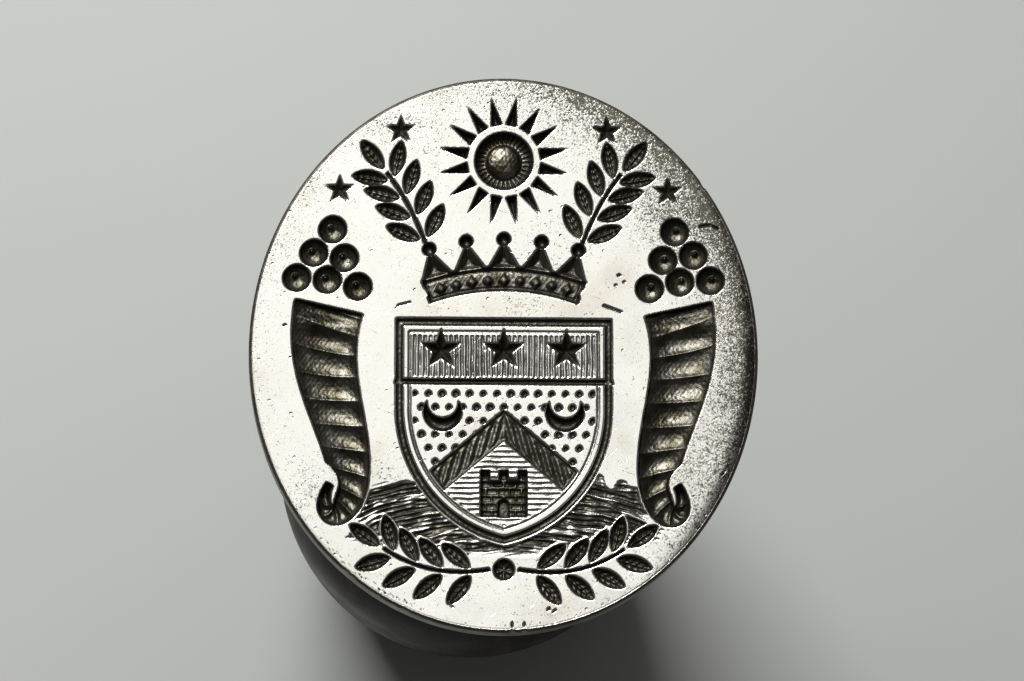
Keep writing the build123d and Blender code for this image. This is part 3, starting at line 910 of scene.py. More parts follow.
def ground_depth(x, y, cuts):
    """Rough mound: noise drawn out into strokes that follow its bowed lines and end unevenly."""
    bowed = y + GROUND_BOW * x**2 + 0.15 * ripple(x, y, 0.7, 1.9)
    strokes = ripple(0.35 * x, 5.0 * bowed, 1.6, 2.6)
    fine = ripple(0.9 * x, 5.5 * bowed, 2.3, 3.7)
    lines = np.sin(FULL_TURN * bowed / GROUND_LINE_PITCH + 2.0 * ripple(0.4 * x, bowed, 1.2, 0.4))
    out = (x / GROUND_HALF_WIDTH) ** 2
    top = GROUND_TOP - 2.0 * out + 0.35 * ripple(x, 0.2 * x, 1.9, 0.8)
    sides = GROUND_HALF_WIDTH - np.abs(x) + 0.9 * strokes
    within = np.minimum.reduce([top - y, y - GROUND_FOOT - 0.8 * out, sides]) + 0.15 * strokes
    cut = np.clip(1.1 + 1.2 * strokes + 0.8 * fine + 0.4 * lines, 0, 2.0)
    return cuts["hatch"] * cut * unit(within / GROUND_EDGE)


def knocks_depth(x, y):
    """Knocks in the land, as short rounded lines, and bites of noise along the worn rim."""
    depth = np.zeros_like(x)
    for cx, cy, length, width, lean in LAND_KNOCKS:
        u, v = along_and_across(x - cx, y - cy, math.radians(lean))
        away = np.hypot(np.maximum(np.abs(u) - length / 2, 0), v)
        depth = np.maximum(depth, unit(2 - 4 * away / width))
    turn = np.degrees(np.arctan2(y, x))
    patchy = ripple(turn, 0.4 * turn, 3.3, 0.5) * ripple(turn, turn, 0.37, 0.9)
    bites = (0.25 + worn_rim(turn)) * unit(patchy + ripple(x, y, 16.0, 1.2) - 0.7)
    return KNOCK_DEPTH * np.maximum(depth, bites * unit(1 + past_land(x, y) / BITE_REACH))


def engraved_depth(x, y, cuts):
    """Depth of the design below the land: the deepest of its parts, rough ground between them, and knocks."""
    parts = [
        *(part(x, y, cuts) for part in (shield_depth, crown_depth, sun_depth, horn_depth)),
        *(part(x, y, cuts) for part in (fruit_depth, knot_depth, small_stars_depth)),
        *(branch_depth(x, y, stem, cuts) for stem in (SPRIG_STEM, GARLAND_STEM)),
    ]
    design = np.clip(np.maximum.reduce(parts), 0.0, None)
    taken = unit(4.0 * blurred((design > 0.01).astype(float), 4))
    ground = ground_depth(x, y, cuts) * (1 - taken) * (shield_inside(x, y) < 0)
    return np.maximum.reduce([design, ground, knocks_depth(x, y)])


# Land and rim of the face

def oval_grid(cells):
    """Square grid pressed into the face's oval: x = u * sqrt(1 - v*v/2), y = v * sqrt(1 - u*u/2)."""
    share = np.linspace(-1, 1, 2 * cells + 1)
    u, v = np.meshgrid(share, share, indexing="ij")
    return FACE_RADII[0] * u * np.sqrt(1 - v**2 / 2), FACE_RADII[1] * v * np.sqrt(1 - u**2 / 2)


def out_share(x, y):
    """Distance from the middle of the face, as a share of the land's oval."""
    return np.hypot(x / FACE_RADII[0], y / FACE_RADII[1])


def past_land(x, y):
    """How far a place lies past the land's edge, in millimetres across the face, negative on the land."""
    return FACE_RADII[0] * (out_share(x, y) - 1)


def worn_rim(turn):
    """One on the worn stretch of the rim, eased to nought at its ends, by the angle in degrees."""
    return unit(np.minimum(turn - WORN_RIM_FROM, WORN_RIM_TO - turn) / WORN_RIM_EASE)


def land_wear(x, y):
    """How worn and stained the land is, with painted shade: most along its right and upper right edge, least
    at the foot.
    """
    out = out_share(x, y)
    side = unit(0.2 + np.cos(np.arctan2(y, x) - WORN_AND_SHADED_HEADING))
    # Painted shade as well as real rubbing: the land darkens towards its right and upper right edge, where
    # the face's reflection of the panel falls off.
    rubbed = unit((out - RUBBED_AND_SHADED_FROM) / (1 - RUBBED_AND_SHADED_FROM)) ** 1.6 * side**1.3
    specked = 0.3 * unit((out - SPECKED_FROM) / (1 - SPECKED_FROM)) * unit(0.65 + 0.65 * y / FACE_RADII[1])
    return np.maximum(rubbed, specked)


def edge_roll(turn, beyond):
    """Drop of the rubbed right edge: a cubic that starts inside the land, under a hump of the angle."""
    away = signed_degrees(np.degrees(turn) - EDGE_ROLL_MIDDLE)
    drop = EDGE_ROLL * np.clip(1 + beyond / EDGE_ROLL_WIDTH, 0, None) ** 3
    return drop * hump(away, EDGE_ROLL_SPREAD)


def face_surface(x, y, depth):
    """Points and normals of the face: a swaying land, cuts with tool chatter, a rubbed right edge."""
    beyond = past_land(x, y)
    sway = LAND_SWAY * (1 + 0.5 * ripple(x, y, 1.1, 0.3)) * unit(-beyond / SWAY_MARGIN)
    chatter = CHATTER * ripple(x, y, 9.0, 0.7) * unit(depth / CHATTER_FULL) * (depth > CHATTER_FROM)
    height = FACE_Z - np.clip(sway, 0, None) - np.clip(depth + chatter, 0, None)
    height = np.where(np.abs(beyond) < 1e-6, FACE_Z, height)
    height -= edge_roll(np.arctan2(y / FACE_RADII[1], x / FACE_RADII[0]), beyond)
    points = np.stack([x, y, height], axis=2)
    normals = np.cross(*np.gradient(points, axis=(0, 1)))
    length = np.linalg.norm(normals, axis=2, keepdims=True)
    return points, np.where(length > 1e-9, normals / np.maximum(length, 1e-9), (0.0, 0.0, 1.0))


def face_values(x, y, depth, normals):
    """What the finish reads: film on cuts and their lips, old wax and soot with painted shade where cuts are
    narrow or steep and on the lips, and how worn the land is, with painted shade at its right edge.
    """
    upward = normals[..., 2]
    steep = np.sqrt(unit(1 - upward**2)) / np.clip(upward, 0.2, 1)
    narrow = depth - blurred(depth, 5)
    shallow = np.minimum(depth, SHALLOW)
    beside_deep = unit(6.0 * blurred((depth > 0.2).astype(float), 5))
    deep_from = np.where(shield_inside(x, y) > 0, DEEP_IN_SHIELD, DEEP_OUTSIDE)
    deep = blurred((depth > deep_from).astype(float), 2)
    near_deep = unit(2.5 * deep)
    # Lips round deep cuts: painted shade that dulls the highlights along them.
    lips = near_deep * unit(2.5 - 2.5 * deep)
    clouded = 0.9 * blurred(shallow, 4) * (1 - beside_deep)
    # Old wax and soot in every cut, with painted shade added where a cut is narrow, as in hatching, and on
    # its steep walls.
    grime = unit(0.1 + 4.5 * narrow + 0.6 * np.clip(steep - 0.4, 0, 1.5)) * unit(depth / 0.08)
    return {
        # The lips of deep cuts also take the cuts' dull dark finish: a painted dark edge.
        "cut": np.maximum.reduce([depth, SHALLOW * near_deep, blurred(shallow, 1), clouded]),
        "grime": np.maximum(grime, 0.9 * lips),
        "wear": land_wear(x, y),
    }


# Finishes

class Finish:
    """One procedural material or world under construction, with short calls for the nodes that it uses."""

    def __init__(self, name, world=False):
        self.material = (bpy.data.worlds if world else bpy.data.materials).new(name)
        self.material.use_nodes = True
        self.tree = self.material.node_tree
        self.shader = self.tree.nodes["Background" if world else "Principled BSDF"]
        self.place = self.node("TexCoord").outputs["Generated" if world else "Object"]

    def feed(self, socket, value):
        """Links a socket to another, or sets it to a plain value."""
        if isinstance(value, bpy.types.NodeSocket):
            self.tree.links.new(value, socket)
        else:
            socket.default_value = value

    def feed_all(self, node, sockets):
        """Feeds a node's sockets by name, with the spaces in their names written as underscores."""
        for name, value in sockets.items():
            self.feed(node.inputs[name.replace("_", " ")], value)

    def node(self, kind, **sockets):
        """A new shader node with its sockets fed."""
        made = self.tree.nodes.new(f"ShaderNode{kind}")
        self.feed_all(made, sockets)
        return made

    def set(self, **sockets):
        """Feeds the shader's sockets and hands over what was made."""
        self.feed_all(self.shader, sockets)
        return self.material

    def scaled(self, stretch, turn=(0.0, 0.0, 0.0)):
        """Object coordinates turned, then stretched along each axis."""
        scale = tuple(1.0 / part for part in stretch)
        mapping = self.node("Mapping", Vector=self.place, Scale=scale, Rotation=turn)
        mapping.vector_type = "TEXTURE"
        return mapping.outputs["Vector"]

    def noise(self, scale, detail=3.0, vector=None, roughness=0.55):
        """Cloudy noise with features of about one over scale metres."""
        vector = vector or self.place
        made = self.node("TexNoise", Vector=vector, Scale=scale, Detail=detail, Roughness=roughness)
        return made.outputs["Fac"]

    def streaks(self, stretch, detail=2.0, turn=(0.0, 0.0, 0.0), roughness=0.55):
        """Noise drawn out along the axes that are stretched least."""
        return self.noise(1.0, detail, self.scaled(stretch, turn), roughness)

    def cells(self, scale, vector=None):
        """Distance to the nearest of scattered points, and a random grey for each point."""
        made = self.node("TexVoronoi", Vector=vector or self.place, Scale=scale)
        return made.outputs["Distance"], made.outputs["Color"]

    def value(self, name):
        """A number stored on the piece's vertices."""
        made = self.node("Attribute")
        made.attribute_name = name
        return made.outputs["Fac"]

    def height(self):
        """Height of the place, or of the direction in a world."""
        return self.node("SeparateXYZ", Vector=self.place).outputs["Z"]

    def reach(self):
        """Distance of the place from the origin."""
        made = self.node("VectorMath", Vector=self.place)
        made.operation = "LENGTH"
        return made.outputs["Value"]

    def seen(self):
        """One for rays from the camera, from glossy and from clear surfaces, nought for rays that light."""
        path = self.node("LightPath").outputs
        looking = self.most(path["Is Camera Ray"], path["Is Glossy Ray"])
        return self.most(looking, path["Is Transmission Ray"])

    def spread(self, source, low, high, first=0.0, last=1.0):
        """Maps low to high onto first to last, clamped, with eased ends."""
        made = self.node("MapRange", Value=source, From_Min=low, From_Max=high, To_Min=first, To_Max=last)
        made.interpolation_type = "SMOOTHSTEP"
        return made.outputs["Result"]

    def reckon(self, operation, first, second):
        """One operation of arithmetic on two numbers."""
        made = self.node("Math")
        made.operation = operation
        self.feed(made.inputs[0], first)
        self.feed(made.inputs[1], second)
        return made.outputs["Value"]

    def times(self, first, second):
        """Product of two numbers."""
        return self.reckon("MULTIPLY", first, second)

    def plus(self, first, second):
        """Two numbers added."""
        return self.reckon("ADD", first, second)

    def most(self, first, second):
        """The larger of two numbers."""
        return self.reckon("MAXIMUM", first, second)

    def blend(self, share, first, second):
        """Colour between two colours."""
        made = self.node("Mix")
        made.data_type = "RGBA"
        self.feed(made.inputs["Factor"], share)
        for key, colour in (("A", first), ("B", second)):
            socket = [item for item in made.inputs if item.name == key and item.type == "RGBA"][0]
            self.feed(socket, colour if isinstance(colour, bpy.types.NodeSocket) else (*colour, 1.0))
        return [item for item in made.outputs if item.type == "RGBA"][0]

    def bump(self, height, distance, strength, normal=None):
        """Normal tilted by a height in metres."""
        made = self.node("Bump", Height=height, Distance=distance, Strength=strength)
        if normal is not None:
            self.feed(made.inputs["Normal"], normal)
        return made.outputs["Normal"]


def die_steel(colours):
    """Worn steel: bright land with pits, scratches and a speckled stain that thickens into painted shade
    towards the right edge, dull and dark in the cuts, with painted shade in their narrow and steep parts and
    on their lips.
    """
    finish = Finish("worn_die_steel")
    cut, grime, wear = finish.value("cut"), finish.value("grime"), finish.value("wear")
    speckle = finish.noise(8200.0, 3.0, roughness=0.6)
    grit = finish.noise(2700.0, 4.0, roughness=0.7)
    pit_away, pit_grey = finish.cells(2400.0, finish.scaled((1.0, 1.35, 1.0), (0.0, 0.0, 0.4)))
    pits = finish.times(finish.spread(pit_away, 0.28, 0.06), finish.spread(pit_grey, 0.8, 0.88))
    first = finish.streaks((320.0, 9000.0, 320.0), turn=(0.0, 0.0, 0.7))
    second = finish.streaks((380.0, 8000.0, 380.0), turn=(0.0, 0.0, -0.35))
    scratches = finish.most(finish.spread(first, 0.72, 0.78), finish.spread(second, 0.73, 0.79))
    # The worn value thickens the dark specks towards the land's right edge: painted shade there as well as
    # real tarnish.
    heavy = finish.plus(wear, finish.spread(finish.noise(190.0, 6.0), 0.45, 0.75, 0.0, 0.35))
    spots = finish.plus(finish.times(speckle, 0.65), finish.times(grit, 0.35))
    dusk = finish.spread(finish.plus(spots, finish.times(heavy, 0.26)), 0.58, 0.76)
    stain = finish.spread(finish.noise(150.0, 5.0, roughness=0.62), 0.48, 0.72, 0.0, 0.6)
    land = finish.blend(stain, colours.land, colours.stain)
    land = finish.blend(dusk, land, colours.tarnish)
    land = finish.blend(finish.most(pits, finish.times(scratches, 0.45)), land, PIT_GREY)
    tone = finish.spread(finish.noise(1100.0, 5.0), 0.3, 0.7)
    recess = finish.blend(tone, colours.recess, colours.recess_dark)
    # Old wax and soot, with painted shade in the narrow and steep parts of the cuts and on their lips.
    recess = finish.blend(grime, recess, colours.grime)
    in_cut = finish.spread(cut, 0.02, 0.11)
    dull = finish.spread(finish.noise(420.0, 5.0), 0.3, 0.75, 0.16, 0.27)
    rough = finish.plus(finish.plus(dull, finish.times(dusk, 0.08)), finish.times(in_cut, 0.16))
    tooled = finish.bump(finish.times(grit, in_cut), 0.00008, 0.5)
    grain = finish.bump(speckle, 0.000012, 0.4, tooled)
    sunk = finish.plus(finish.plus(scratches, pits), finish.times(dusk, 0.35))
    return finish.set(
        Base_Color=finish.blend(in_cut, land, recess), Roughness=rough,
        Metallic=finish.spread(finish.times(grime, in_cut), 0.3, 1.0, 1.0, 0.35),
        Normal=finish.bump(sunk, -0.00003, 0.6, grain),
    )


def stud_steel():
    """Cut steel thread: mid grey with oily brown patches and fine lines from the tool."""
    finish = Finish("cut_thread_steel")
    patches = finish.spread(finish.noise(700.0, 5.0), 0.4, 0.7)
    return finish.set(
        Base_Color=finish.blend(patches, THREAD_GREY, THREAD_OIL),
        Roughness=finish.spread(patches, 0.0, 1.0, 0.3, 0.5), Metallic=1.0,
        Normal=finish.bump(finish.streaks((400.0, 400.0, 14000.0)), 0.00001, 0.5),
    )


def aged_brass(name, colours, film):
    """Turned brass: rings from the lathe, with a brown film that gathers in patches."""
    finish = Finish(name)
    patches = finish.spread(finish.noise(380.0, 6.0), 0.5 - film, 0.8 - film)
    specks = finish.spread(finish.noise(3600.0, 2.0), 0.66, 0.72)
    worn = finish.most(patches, finish.times(specks, 0.7))
    return finish.set(
        Base_Color=finish.blend(worn, colours.brass, colours.brass_aged),
        Roughness=finish.spread(worn, 0.0, 1.0, 0.24, 0.46), Metallic=1.0,
        Normal=finish.bump(finish.streaks((90.0, 90.0, 9000.0), 3.0), 0.00002, 0.4),
    )


def dark_wood(colours):
    """Polished near-black hardwood: grain drawn out along the handle, fine pores and a thin coat."""
    finish = Finish("polished_grip_wood")
    figure = finish.streaks((420.0, 420.0, 26.0), 6.0, roughness=0.6)
    bands = finish.streaks((110.0, 150.0, 9.0), 3.0)
    pores = finish.spread(finish.streaks((3400.0, 3400.0, 120.0)), 0.62, 0.72)
    tone = finish.times(finish.spread(figure, 0.47, 0.7), finish.spread(bands, 0.3, 0.7, 0.25, 1.0))
    colour = finish.blend(tone, colours.wood_dark, colours.wood_light)
    return finish.set(
        Base_Color=finish.blend(pores, colour, PORE_BLACK),
        Roughness=finish.spread(finish.noise(240.0, 4.0), 0.3, 0.7, 0.36, 0.5),
        Normal=finish.bump(pores, -0.00003, 0.5), Specular_IOR_Level=0.07,
        Coat_Weight=0.07, Coat_Roughness=0.14,
    )


def oiled_leather(colours):
    """Dark leather: creased cells with paler worn patches."""
    finish = Finish("oiled_washer_leather")
    away, _ = finish.cells(2600.0)
    fibre = finish.noise(5200.0, 4.0)
    return finish.set(
        Base_Color=finish.blend(finish.spread(fibre, 0.35, 0.7), colours.leather, WORN_LEATHER),
        Roughness=finish.spread(fibre, 0.3, 0.7, 0.55, 0.8),
        Normal=finish.bump(finish.plus(away, fibre), 0.00006, 0.6),
    )


def hard_cement(colours):
    """Hard pitch: brown-black, broken into glossy and dusty patches."""
    finish = Finish("hard_pitch_cement")
    patches = finish.spread(finish.noise(900.0, 5.0), 0.35, 0.7)
    return finish.set(
        Base_Color=finish.blend(patches, colours.cement, DUSTY_CEMENT),
        Roughness=finish.spread(patches, 0.0, 1.0, 0.3, 0.75), Normal=finish.bump(patches, 0.00005, 0.5),
    )


def table_top(colour, backdrop):
    """Matt pale table with a trace of unevenness, which keeps its paleness far from the lamps."""
    finish = Finish("table_top")
    shade = tuple(TABLE_SHADE * part for part in colour)
    far = finish.spread(finish.reach(), TABLE_NEAR, TABLE_FAR, 0.0, backdrop)
    return finish.set(
        Base_Color=finish.blend(finish.noise(22.0, 3.0), colour, shade), Roughness=0.6,
        Emission_Color=(*colour, 1.0), Emission_Strength=finish.times(finish.seen(), far),
    )


def studio(colour, fill, backdrop):
    """Even light all round, with a pale band above the horizon that only the camera and the metal see."""
    finish = Finish("studio", world=True)
    band = finish.times(finish.seen(), finish.spread(finish.height(), BAND_END, BAND_FULL))
    return finish.set(
        Color=finish.blend(band, (1.0, 1.0, 1.0), colour),
        Strength=finish.spread(band, 0.0, 1.0, fill, HORIZON_LIFT * backdrop),
    )


def dress(piece, finish, body, slot, *nodes):
    """Gives a piece its finish, sets it on its body and lets it stand for its CAD nodes."""
    piece.data.materials.append(finish)
    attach(piece, body)
    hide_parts(*nodes)


# Operators, one for each piece or group of like pieces

class SEAL_OT_die_face(Operator):
    """Engraved face of the die, as four quarter slabs whose tops are one height field"""

    bl_idname = "seal.die_face"
    bl_label = "Engraved face"

    def execute(self, context):
        engraving = context.scene.seal_engraving
        cuts = {name: getattr(engraving, f"{name}_cut") / MM for name in ("deep", "leaf", "line", "hatch")}
        cuts["pitch"] = engraving.hatch_pitch / MM
        x, y = oval_grid(engraving.cells)
        depth = engraved_depth(x, y, cuts)
        depth = (depth + blurred(depth, 1)) / 2
        points, normals = face_surface(x, y, depth)
        fields = face_values(x, y, depth, normals)
        finish = die_steel(context.scene.seal_finish)
        low, high = slice(0, engraving.cells + 1), slice(engraving.cells, None)
        quarters = {
            "die_face_upper_right": (high, high), "die_face_upper_left": (low, high),
            "die_face_lower_left": (low, low), "die_face_lower_right": (high, low),
        }
        for name, part in quarters.items():
            piece = self.slab(name, points[part], normals[part])
            border = self.border(depth[part].shape)
            flat = {key: np.ravel(field[part]) for key, field in fields.items()}
            give_values(piece, **{key: np.concatenate([field, field[border]]) for key, field in flat.items()})
            dress(piece, finish, "die", "die_steel", "seal_die")
        return {"FINISHED"}

    @staticmethod
    def border(shape):
        """Indices round the edge of a grid, anticlockwise from above."""
        index = np.arange(shape[0] * shape[1]).reshape(shape)
        return np.concatenate([index[:, 0], index[-1, 1:], index[-2::-1, -1], index[0, -2:0:-1]])

    def slab(self, name, points, normals):
        """Closed slab: the height field on top, upright sides and one flat underside."""
        index = np.arange(points.shape[0] * points.shape[1]).reshape(points.shape[:2])
        top = (index[:-1, :-1], index[1:, :-1], index[1:, 1:], index[:-1, 1:])
        top = np.stack([np.ravel(part) for part in top], axis=1)
        border = self.border(points.shape[:2])
        under = index.size + np.arange(len(border))
        sides = np.stack([border, under, np.roll(under, -1), np.roll(border, -1)], axis=1)
        flat = points.reshape(-1, 3)
        base = flat[border].copy()
        base[:, 2] = FACE_Z - FACE_SLAB
        piece = new_piece(name, np.concatenate([flat, base]), np.concatenate([top, sides]), (under[::-1],))
        outward = np.concatenate([normals.reshape(-1, 3), np.tile((0.0, 0.0, -1.0), (len(border), 1))])
        piece.data.normals_split_custom_set_from_vertices(outward)
        return piece


class SEAL_OT_die_body(Operator):
    """Body of the die: bevelled rim with its nicks, flared back, beaded neck and shoulder"""

    bl_idname = "seal.die_body"
    bl_label = "Die body"

    def execute(self, context):
        share = np.linspace(-1, 1, context.scene.seal_engraving.cells // 2 + 1)[:-1]
        side = np.arcsin(share / math.sqrt(2))
        angle = np.concatenate([side + quarter * math.pi / 2 for quarter in range(4)])
        profile = self.profile()
        beyond = np.clip(profile[:, :1] - FACE_RADII[0], 0, RIM_BEVEL)
        near_top = unit((profile[:, 2:] - WALL_TOP_Z + NICK_REACH) / NICK_REACH)
        shrink = self.dents(np.degrees(angle)) * near_top * beyond / RIM_BEVEL
        wide = (profile[:, :1] - shrink) * np.cos(angle)
        tall = (profile[:, 1:2] - shrink) * np.sin(angle)
        level = np.repeat(profile[:, 2:], len(angle), axis=1)
        rolled = level - unit((level - WALL_TOP_Z) / RIM_BEVEL) * edge_roll(angle, beyond)
        piece = carried_piece("die_body", np.stack([wide, tall, rolled], axis=2))
        back = unit((RIM_Z + BACK_OVERLAP - level) / BACK_EASE)
        crevice = hump(level - NECK_Z, CREVICE_WIDTH) + hump(level - BEAD_Z, CREVICE_WIDTH)
        bevel = unit((level - WALL_TOP_Z + BEVEL_OVERLAP) / WALL_EASE)
        wall = unit((level - RIM_Z) / WALL_EASE)
        land = unit(1 - (FACE_Z - level) / LAND_EASE)
        # The bevel's dark film is real patina; the extra dark on the wall is painted shade that dulls its
        # reflection, and the creases at the neck and bead are darker as well.
        give_values(
            piece, cut=(0.06 + 0.04 * wall + 0.1 * bevel) * (1 - land),
            wear=land * land_wear(wide, tall) + (1 - land) * (0.5 + 0.3 * back),
            grime=unit(0.35 * wall + 0.45 * bevel + crevice * back) * (1 - land),
        )
        dress(piece, bpy.data.materials["worn_die_steel"], "die", "die_steel", "seal_die")
        return {"FINISHED"}

    @staticmethod
    def profile():
        """Half widths along X and Y, and height, from the stud's seat up to the face and under its slab."""
        shoulder = SHOULDER_RADIUS - EDGE_BREAK
        stem = run_of(
            line((STUD_RADIUS, STUD_HIGH[2]), (STUD_RADIUS, SHOULDER_Z), (shoulder, SHOULDER_Z)),
            line((SHOULDER_RADIUS, SHOULDER_Z + EDGE_BREAK), (SHOULDER_RADIUS, BEAD_Z - EDGE_BREAK)),
            line((shoulder, BEAD_Z), (NECK_RADIUS, BEAD_Z)),
            bead((NECK_RADIUS, BEAD_Z), (NECK_RADIUS, NECK_Z), NECK_BEAD_BULGE),
            line((NECK_RADIUS, NECK_Z), (NECK_RADIUS, FLARE_Z)),
        )
        rise = np.linspace(0, 1, FLARE_STEPS)
        flare = NECK_RADIUS + rise[:, None] ** 2 * (FACE_RADII - NECK_RADIUS)
        bend = np.linspace(0, math.pi / 2, BEVEL_STEPS)[1:]
        bevel = np.column_stack([np.cos(bend), np.sin(bend)]).clip(0, 1) ** (2 / BEVEL_POWER)
        walls = np.linspace(RIM_Z + 2 * EDGE_BREAK, WALL_TOP_Z, RIM_WALL_STEPS)
        return np.array([
            *((radius, radius, height) for radius, height in stem),
            *np.column_stack([flare, FLARE_Z + FLARE_DEPTH * rise])[1:],
            (*(RIM_RADII - EDGE_BREAK), RIM_Z), (*RIM_RADII, RIM_Z + EDGE_BREAK),
            *((*RIM_RADII, height) for height in walls),
            *((*(RIM_RADII - RIM_BEVEL * (1 - out)), WALL_TOP_Z + RIM_BEVEL * up) for out, up in bevel),
            (*FACE_RADII, FACE_Z - FACE_SLAB),
        ])

    @staticmethod
    def dents(degrees):
        """Depth of the nicks and of the worn stretch round the rim, by the angle in degrees."""
        turn = signed_degrees(degrees)
        worn = WORN_RIM_DEPTH * worn_rim(turn) * unit(ripple(turn, turn * 0.3, 1.9, 0.5))
        for place, depth, width in RIM_NICKS:
            worn += depth * hump(signed_degrees(degrees - place), width)
        return worn


class SEAL_OT_screw_stud(Operator):
    """Screw stud with a right-hand thread, which rises by one pitch in each turn"""

    bl_idname = "seal.screw_stud"
    bl_label = "Screw stud"

    def execute(self, context):
        stations = np.linspace(STUD_LOW[2], STUD_HIGH[2], THREAD_STATIONS)
        height, angle = np.meshgrid(stations, even_angles(THREAD_SIDES), indexing="ij")
        phase = height / THREAD_PITCH - angle / FULL_TURN
        ridge = unit(THREAD_FLANK * np.abs((phase % 1) - 0.5) - THREAD_ROOT)
        run_in = unit((height - STUD_LOW[2]) / STUD_TIP_CHAMFER)
        radius = STUD_RADIUS - np.maximum(THREAD_DEPTH * (1 - ridge), STUD_TIP_CHAMFER * (1 - run_in))
        points = np.stack([radius * np.cos(angle), radius * np.sin(angle), height], axis=2)
        piece = carried_piece("stud_thread", points, crease=THREAD_CREASE)
        dress(piece, stud_steel(), "die", "stud_steel", "screw_stud")
        return {"FINISHED"}


class SEAL_OT_die_washer(Operator):
    """Leather washer with a pressed, slightly swollen edge"""

    bl_idname = "seal.die_washer"
    bl_label = "Washer"

    def execute(self, context):
        foot, top = WASHER_LOW[2], WASHER_HIGH[2]
        hole = STUD_RADIUS + WASHER_CLEARANCE + WASHER_HOLE_BULGE
        edge = SHOULDER_RADIUS - WASHER_BULGE
        profile = run_of(
            line((hole, foot), (edge, foot)),
            bead((edge, foot), (edge, top), WASHER_BULGE),
            line((edge, top), (hole, top)),
            bead((hole, top), (hole, foot), WASHER_HOLE_BULGE),
        )[:-1]
        piece = carried_piece("leather_washer", turned_points(profile, TURNED_SIDES), closed=True)
        dress(piece, oiled_leather(context.scene.seal_finish), "washer", "washer_leather", "die_washer")
        return {"FINISHED"}


class SEAL_OT_threaded_socket(Operator):
    """Brass socket with a knurled flange, and the cement round its plug"""

    bl_idname = "seal.threaded_socket"
    bl_label = "Socket"

    def execute(self, context):
        colours = context.scene.seal_finish
        bore = STUD_RADIUS + THREAD_CLEARANCE
        plug = bore + SOCKET_WALL
        foot, top, under = SOCKET_LOW[2], SOCKET_HIGH[2], TENON_TOP_Z
        rim = SOCKET_FLANGE_RADIUS
        profile = line(
            (plug, foot), (plug, under), (rim - EDGE_BREAK, under),
            (rim, under + EDGE_BREAK), (rim, (under + top) / 2), (rim, top - EDGE_BREAK),
            (rim - EDGE_BREAK, top), (bore + SOCKET_MOUTH, top), (bore, top - SOCKET_MOUTH),
            (bore, foot + SOCKET_FLOOR),
        )
        points = turned_points(profile, KNURL_TOOTH_SIDES * KNURL_TEETH)
        angle = np.arctan2(points[..., 1], points[..., 0])
        on_rim = profile[:, :1] > rim - 1e-3
        tooth = KNURL_DEPTH * (0.5 - 0.5 * np.cos(KNURL_TEETH * angle)) * on_rim
        points[..., :2] *= (1 - tooth / profile[:, :1])[..., None]
        piece = carried_piece("brass_socket", points)
        finish = aged_brass("aged_socket_brass", colours, SOCKET_FILM)
        dress(piece, finish, "handle", "socket_brass", "threaded_socket")
        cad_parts["socket_cement"].material_slots[0].material = hard_cement(colours)
        return {"FINISHED"}


class SEAL_OT_ferrule(Operator):
    """Brass ferrule with a bead and two scribed lines, and the domed heads of its two nails"""

    bl_idname = "seal.ferrule"
    bl_label = "Ferrule and nails"

    def execute(self, context):
        finish = aged_brass("aged_ferrule_brass", context.scene.seal_finish, FERRULE_FILM)
        outer, bore = FERRULE_RADIUS, FERRULE_RADIUS - FERRULE_WALL
        bead_top = FERRULE_FOOT_Z + FERRULE_BEAD_LENGTH
        rise = np.linspace(bead_top + FERRULE_BEAD_GAP, TENON_TOP_Z - EDGE_BREAK, FERRULE_STATIONS)
        lines = sum(hump(rise - TENON_TOP_Z + drop, FERRULE_LINE_WIDTH) for drop in FERRULE_LINE_DROPS)
        profile = run_of(
            line((bore, FERRULE_FOOT_Z), (outer, FERRULE_FOOT_Z)),
            bead((outer, FERRULE_FOOT_Z), (outer, bead_top), FERRULE_BEAD_BULGE),
            np.column_stack([outer - FERRULE_LINE_DEPTH * lines, rise]),
            line((outer - EDGE_BREAK, TENON_TOP_Z), (bore, TENON_TOP_Z)),
        )
        piece = carried_piece("brass_ferrule", turned_points(profile, FERRULE_SIDES), closed=True)
        dress(piece, finish, "handle", "ferrule_brass", "ferrule")
        for side, name in ((1, "nail_head_right"), (-1, "nail_head_left")):
            dress(self.nail(side, name), finish, "handle", "ferrule_brass", "ferrule_nails")
        return {"FINISHED"}

    @staticmethod
    def nail(side, name):
        """Nail along X on one side: a round shank, and a head whose dome is a parabola of the radius."""
        turn = even_angles(NAIL_SIDES)
        share = np.linspace(1, NAIL_TIP, NAIL_STATIONS)
        ring = np.concatenate([[1.0, 1.0], share])[:, None] * NAIL_RADIUS
        end = NAILS_HIGH[0]
        proud = np.concatenate([[end - NAIL_LENGTH, end - NAIL_DOME_FOOT], end + NAIL_DOME * (1 - share**2)])
        away = np.repeat(proud[:, None] * side, NAIL_SIDES, axis=1)
        up = (NAILS_LOW[2] + NAILS_HIGH[2]) / 2 + side * ring * np.sin(turn)
        return carried_piece(name, np.stack([away, ring * np.cos(turn), up], axis=2))


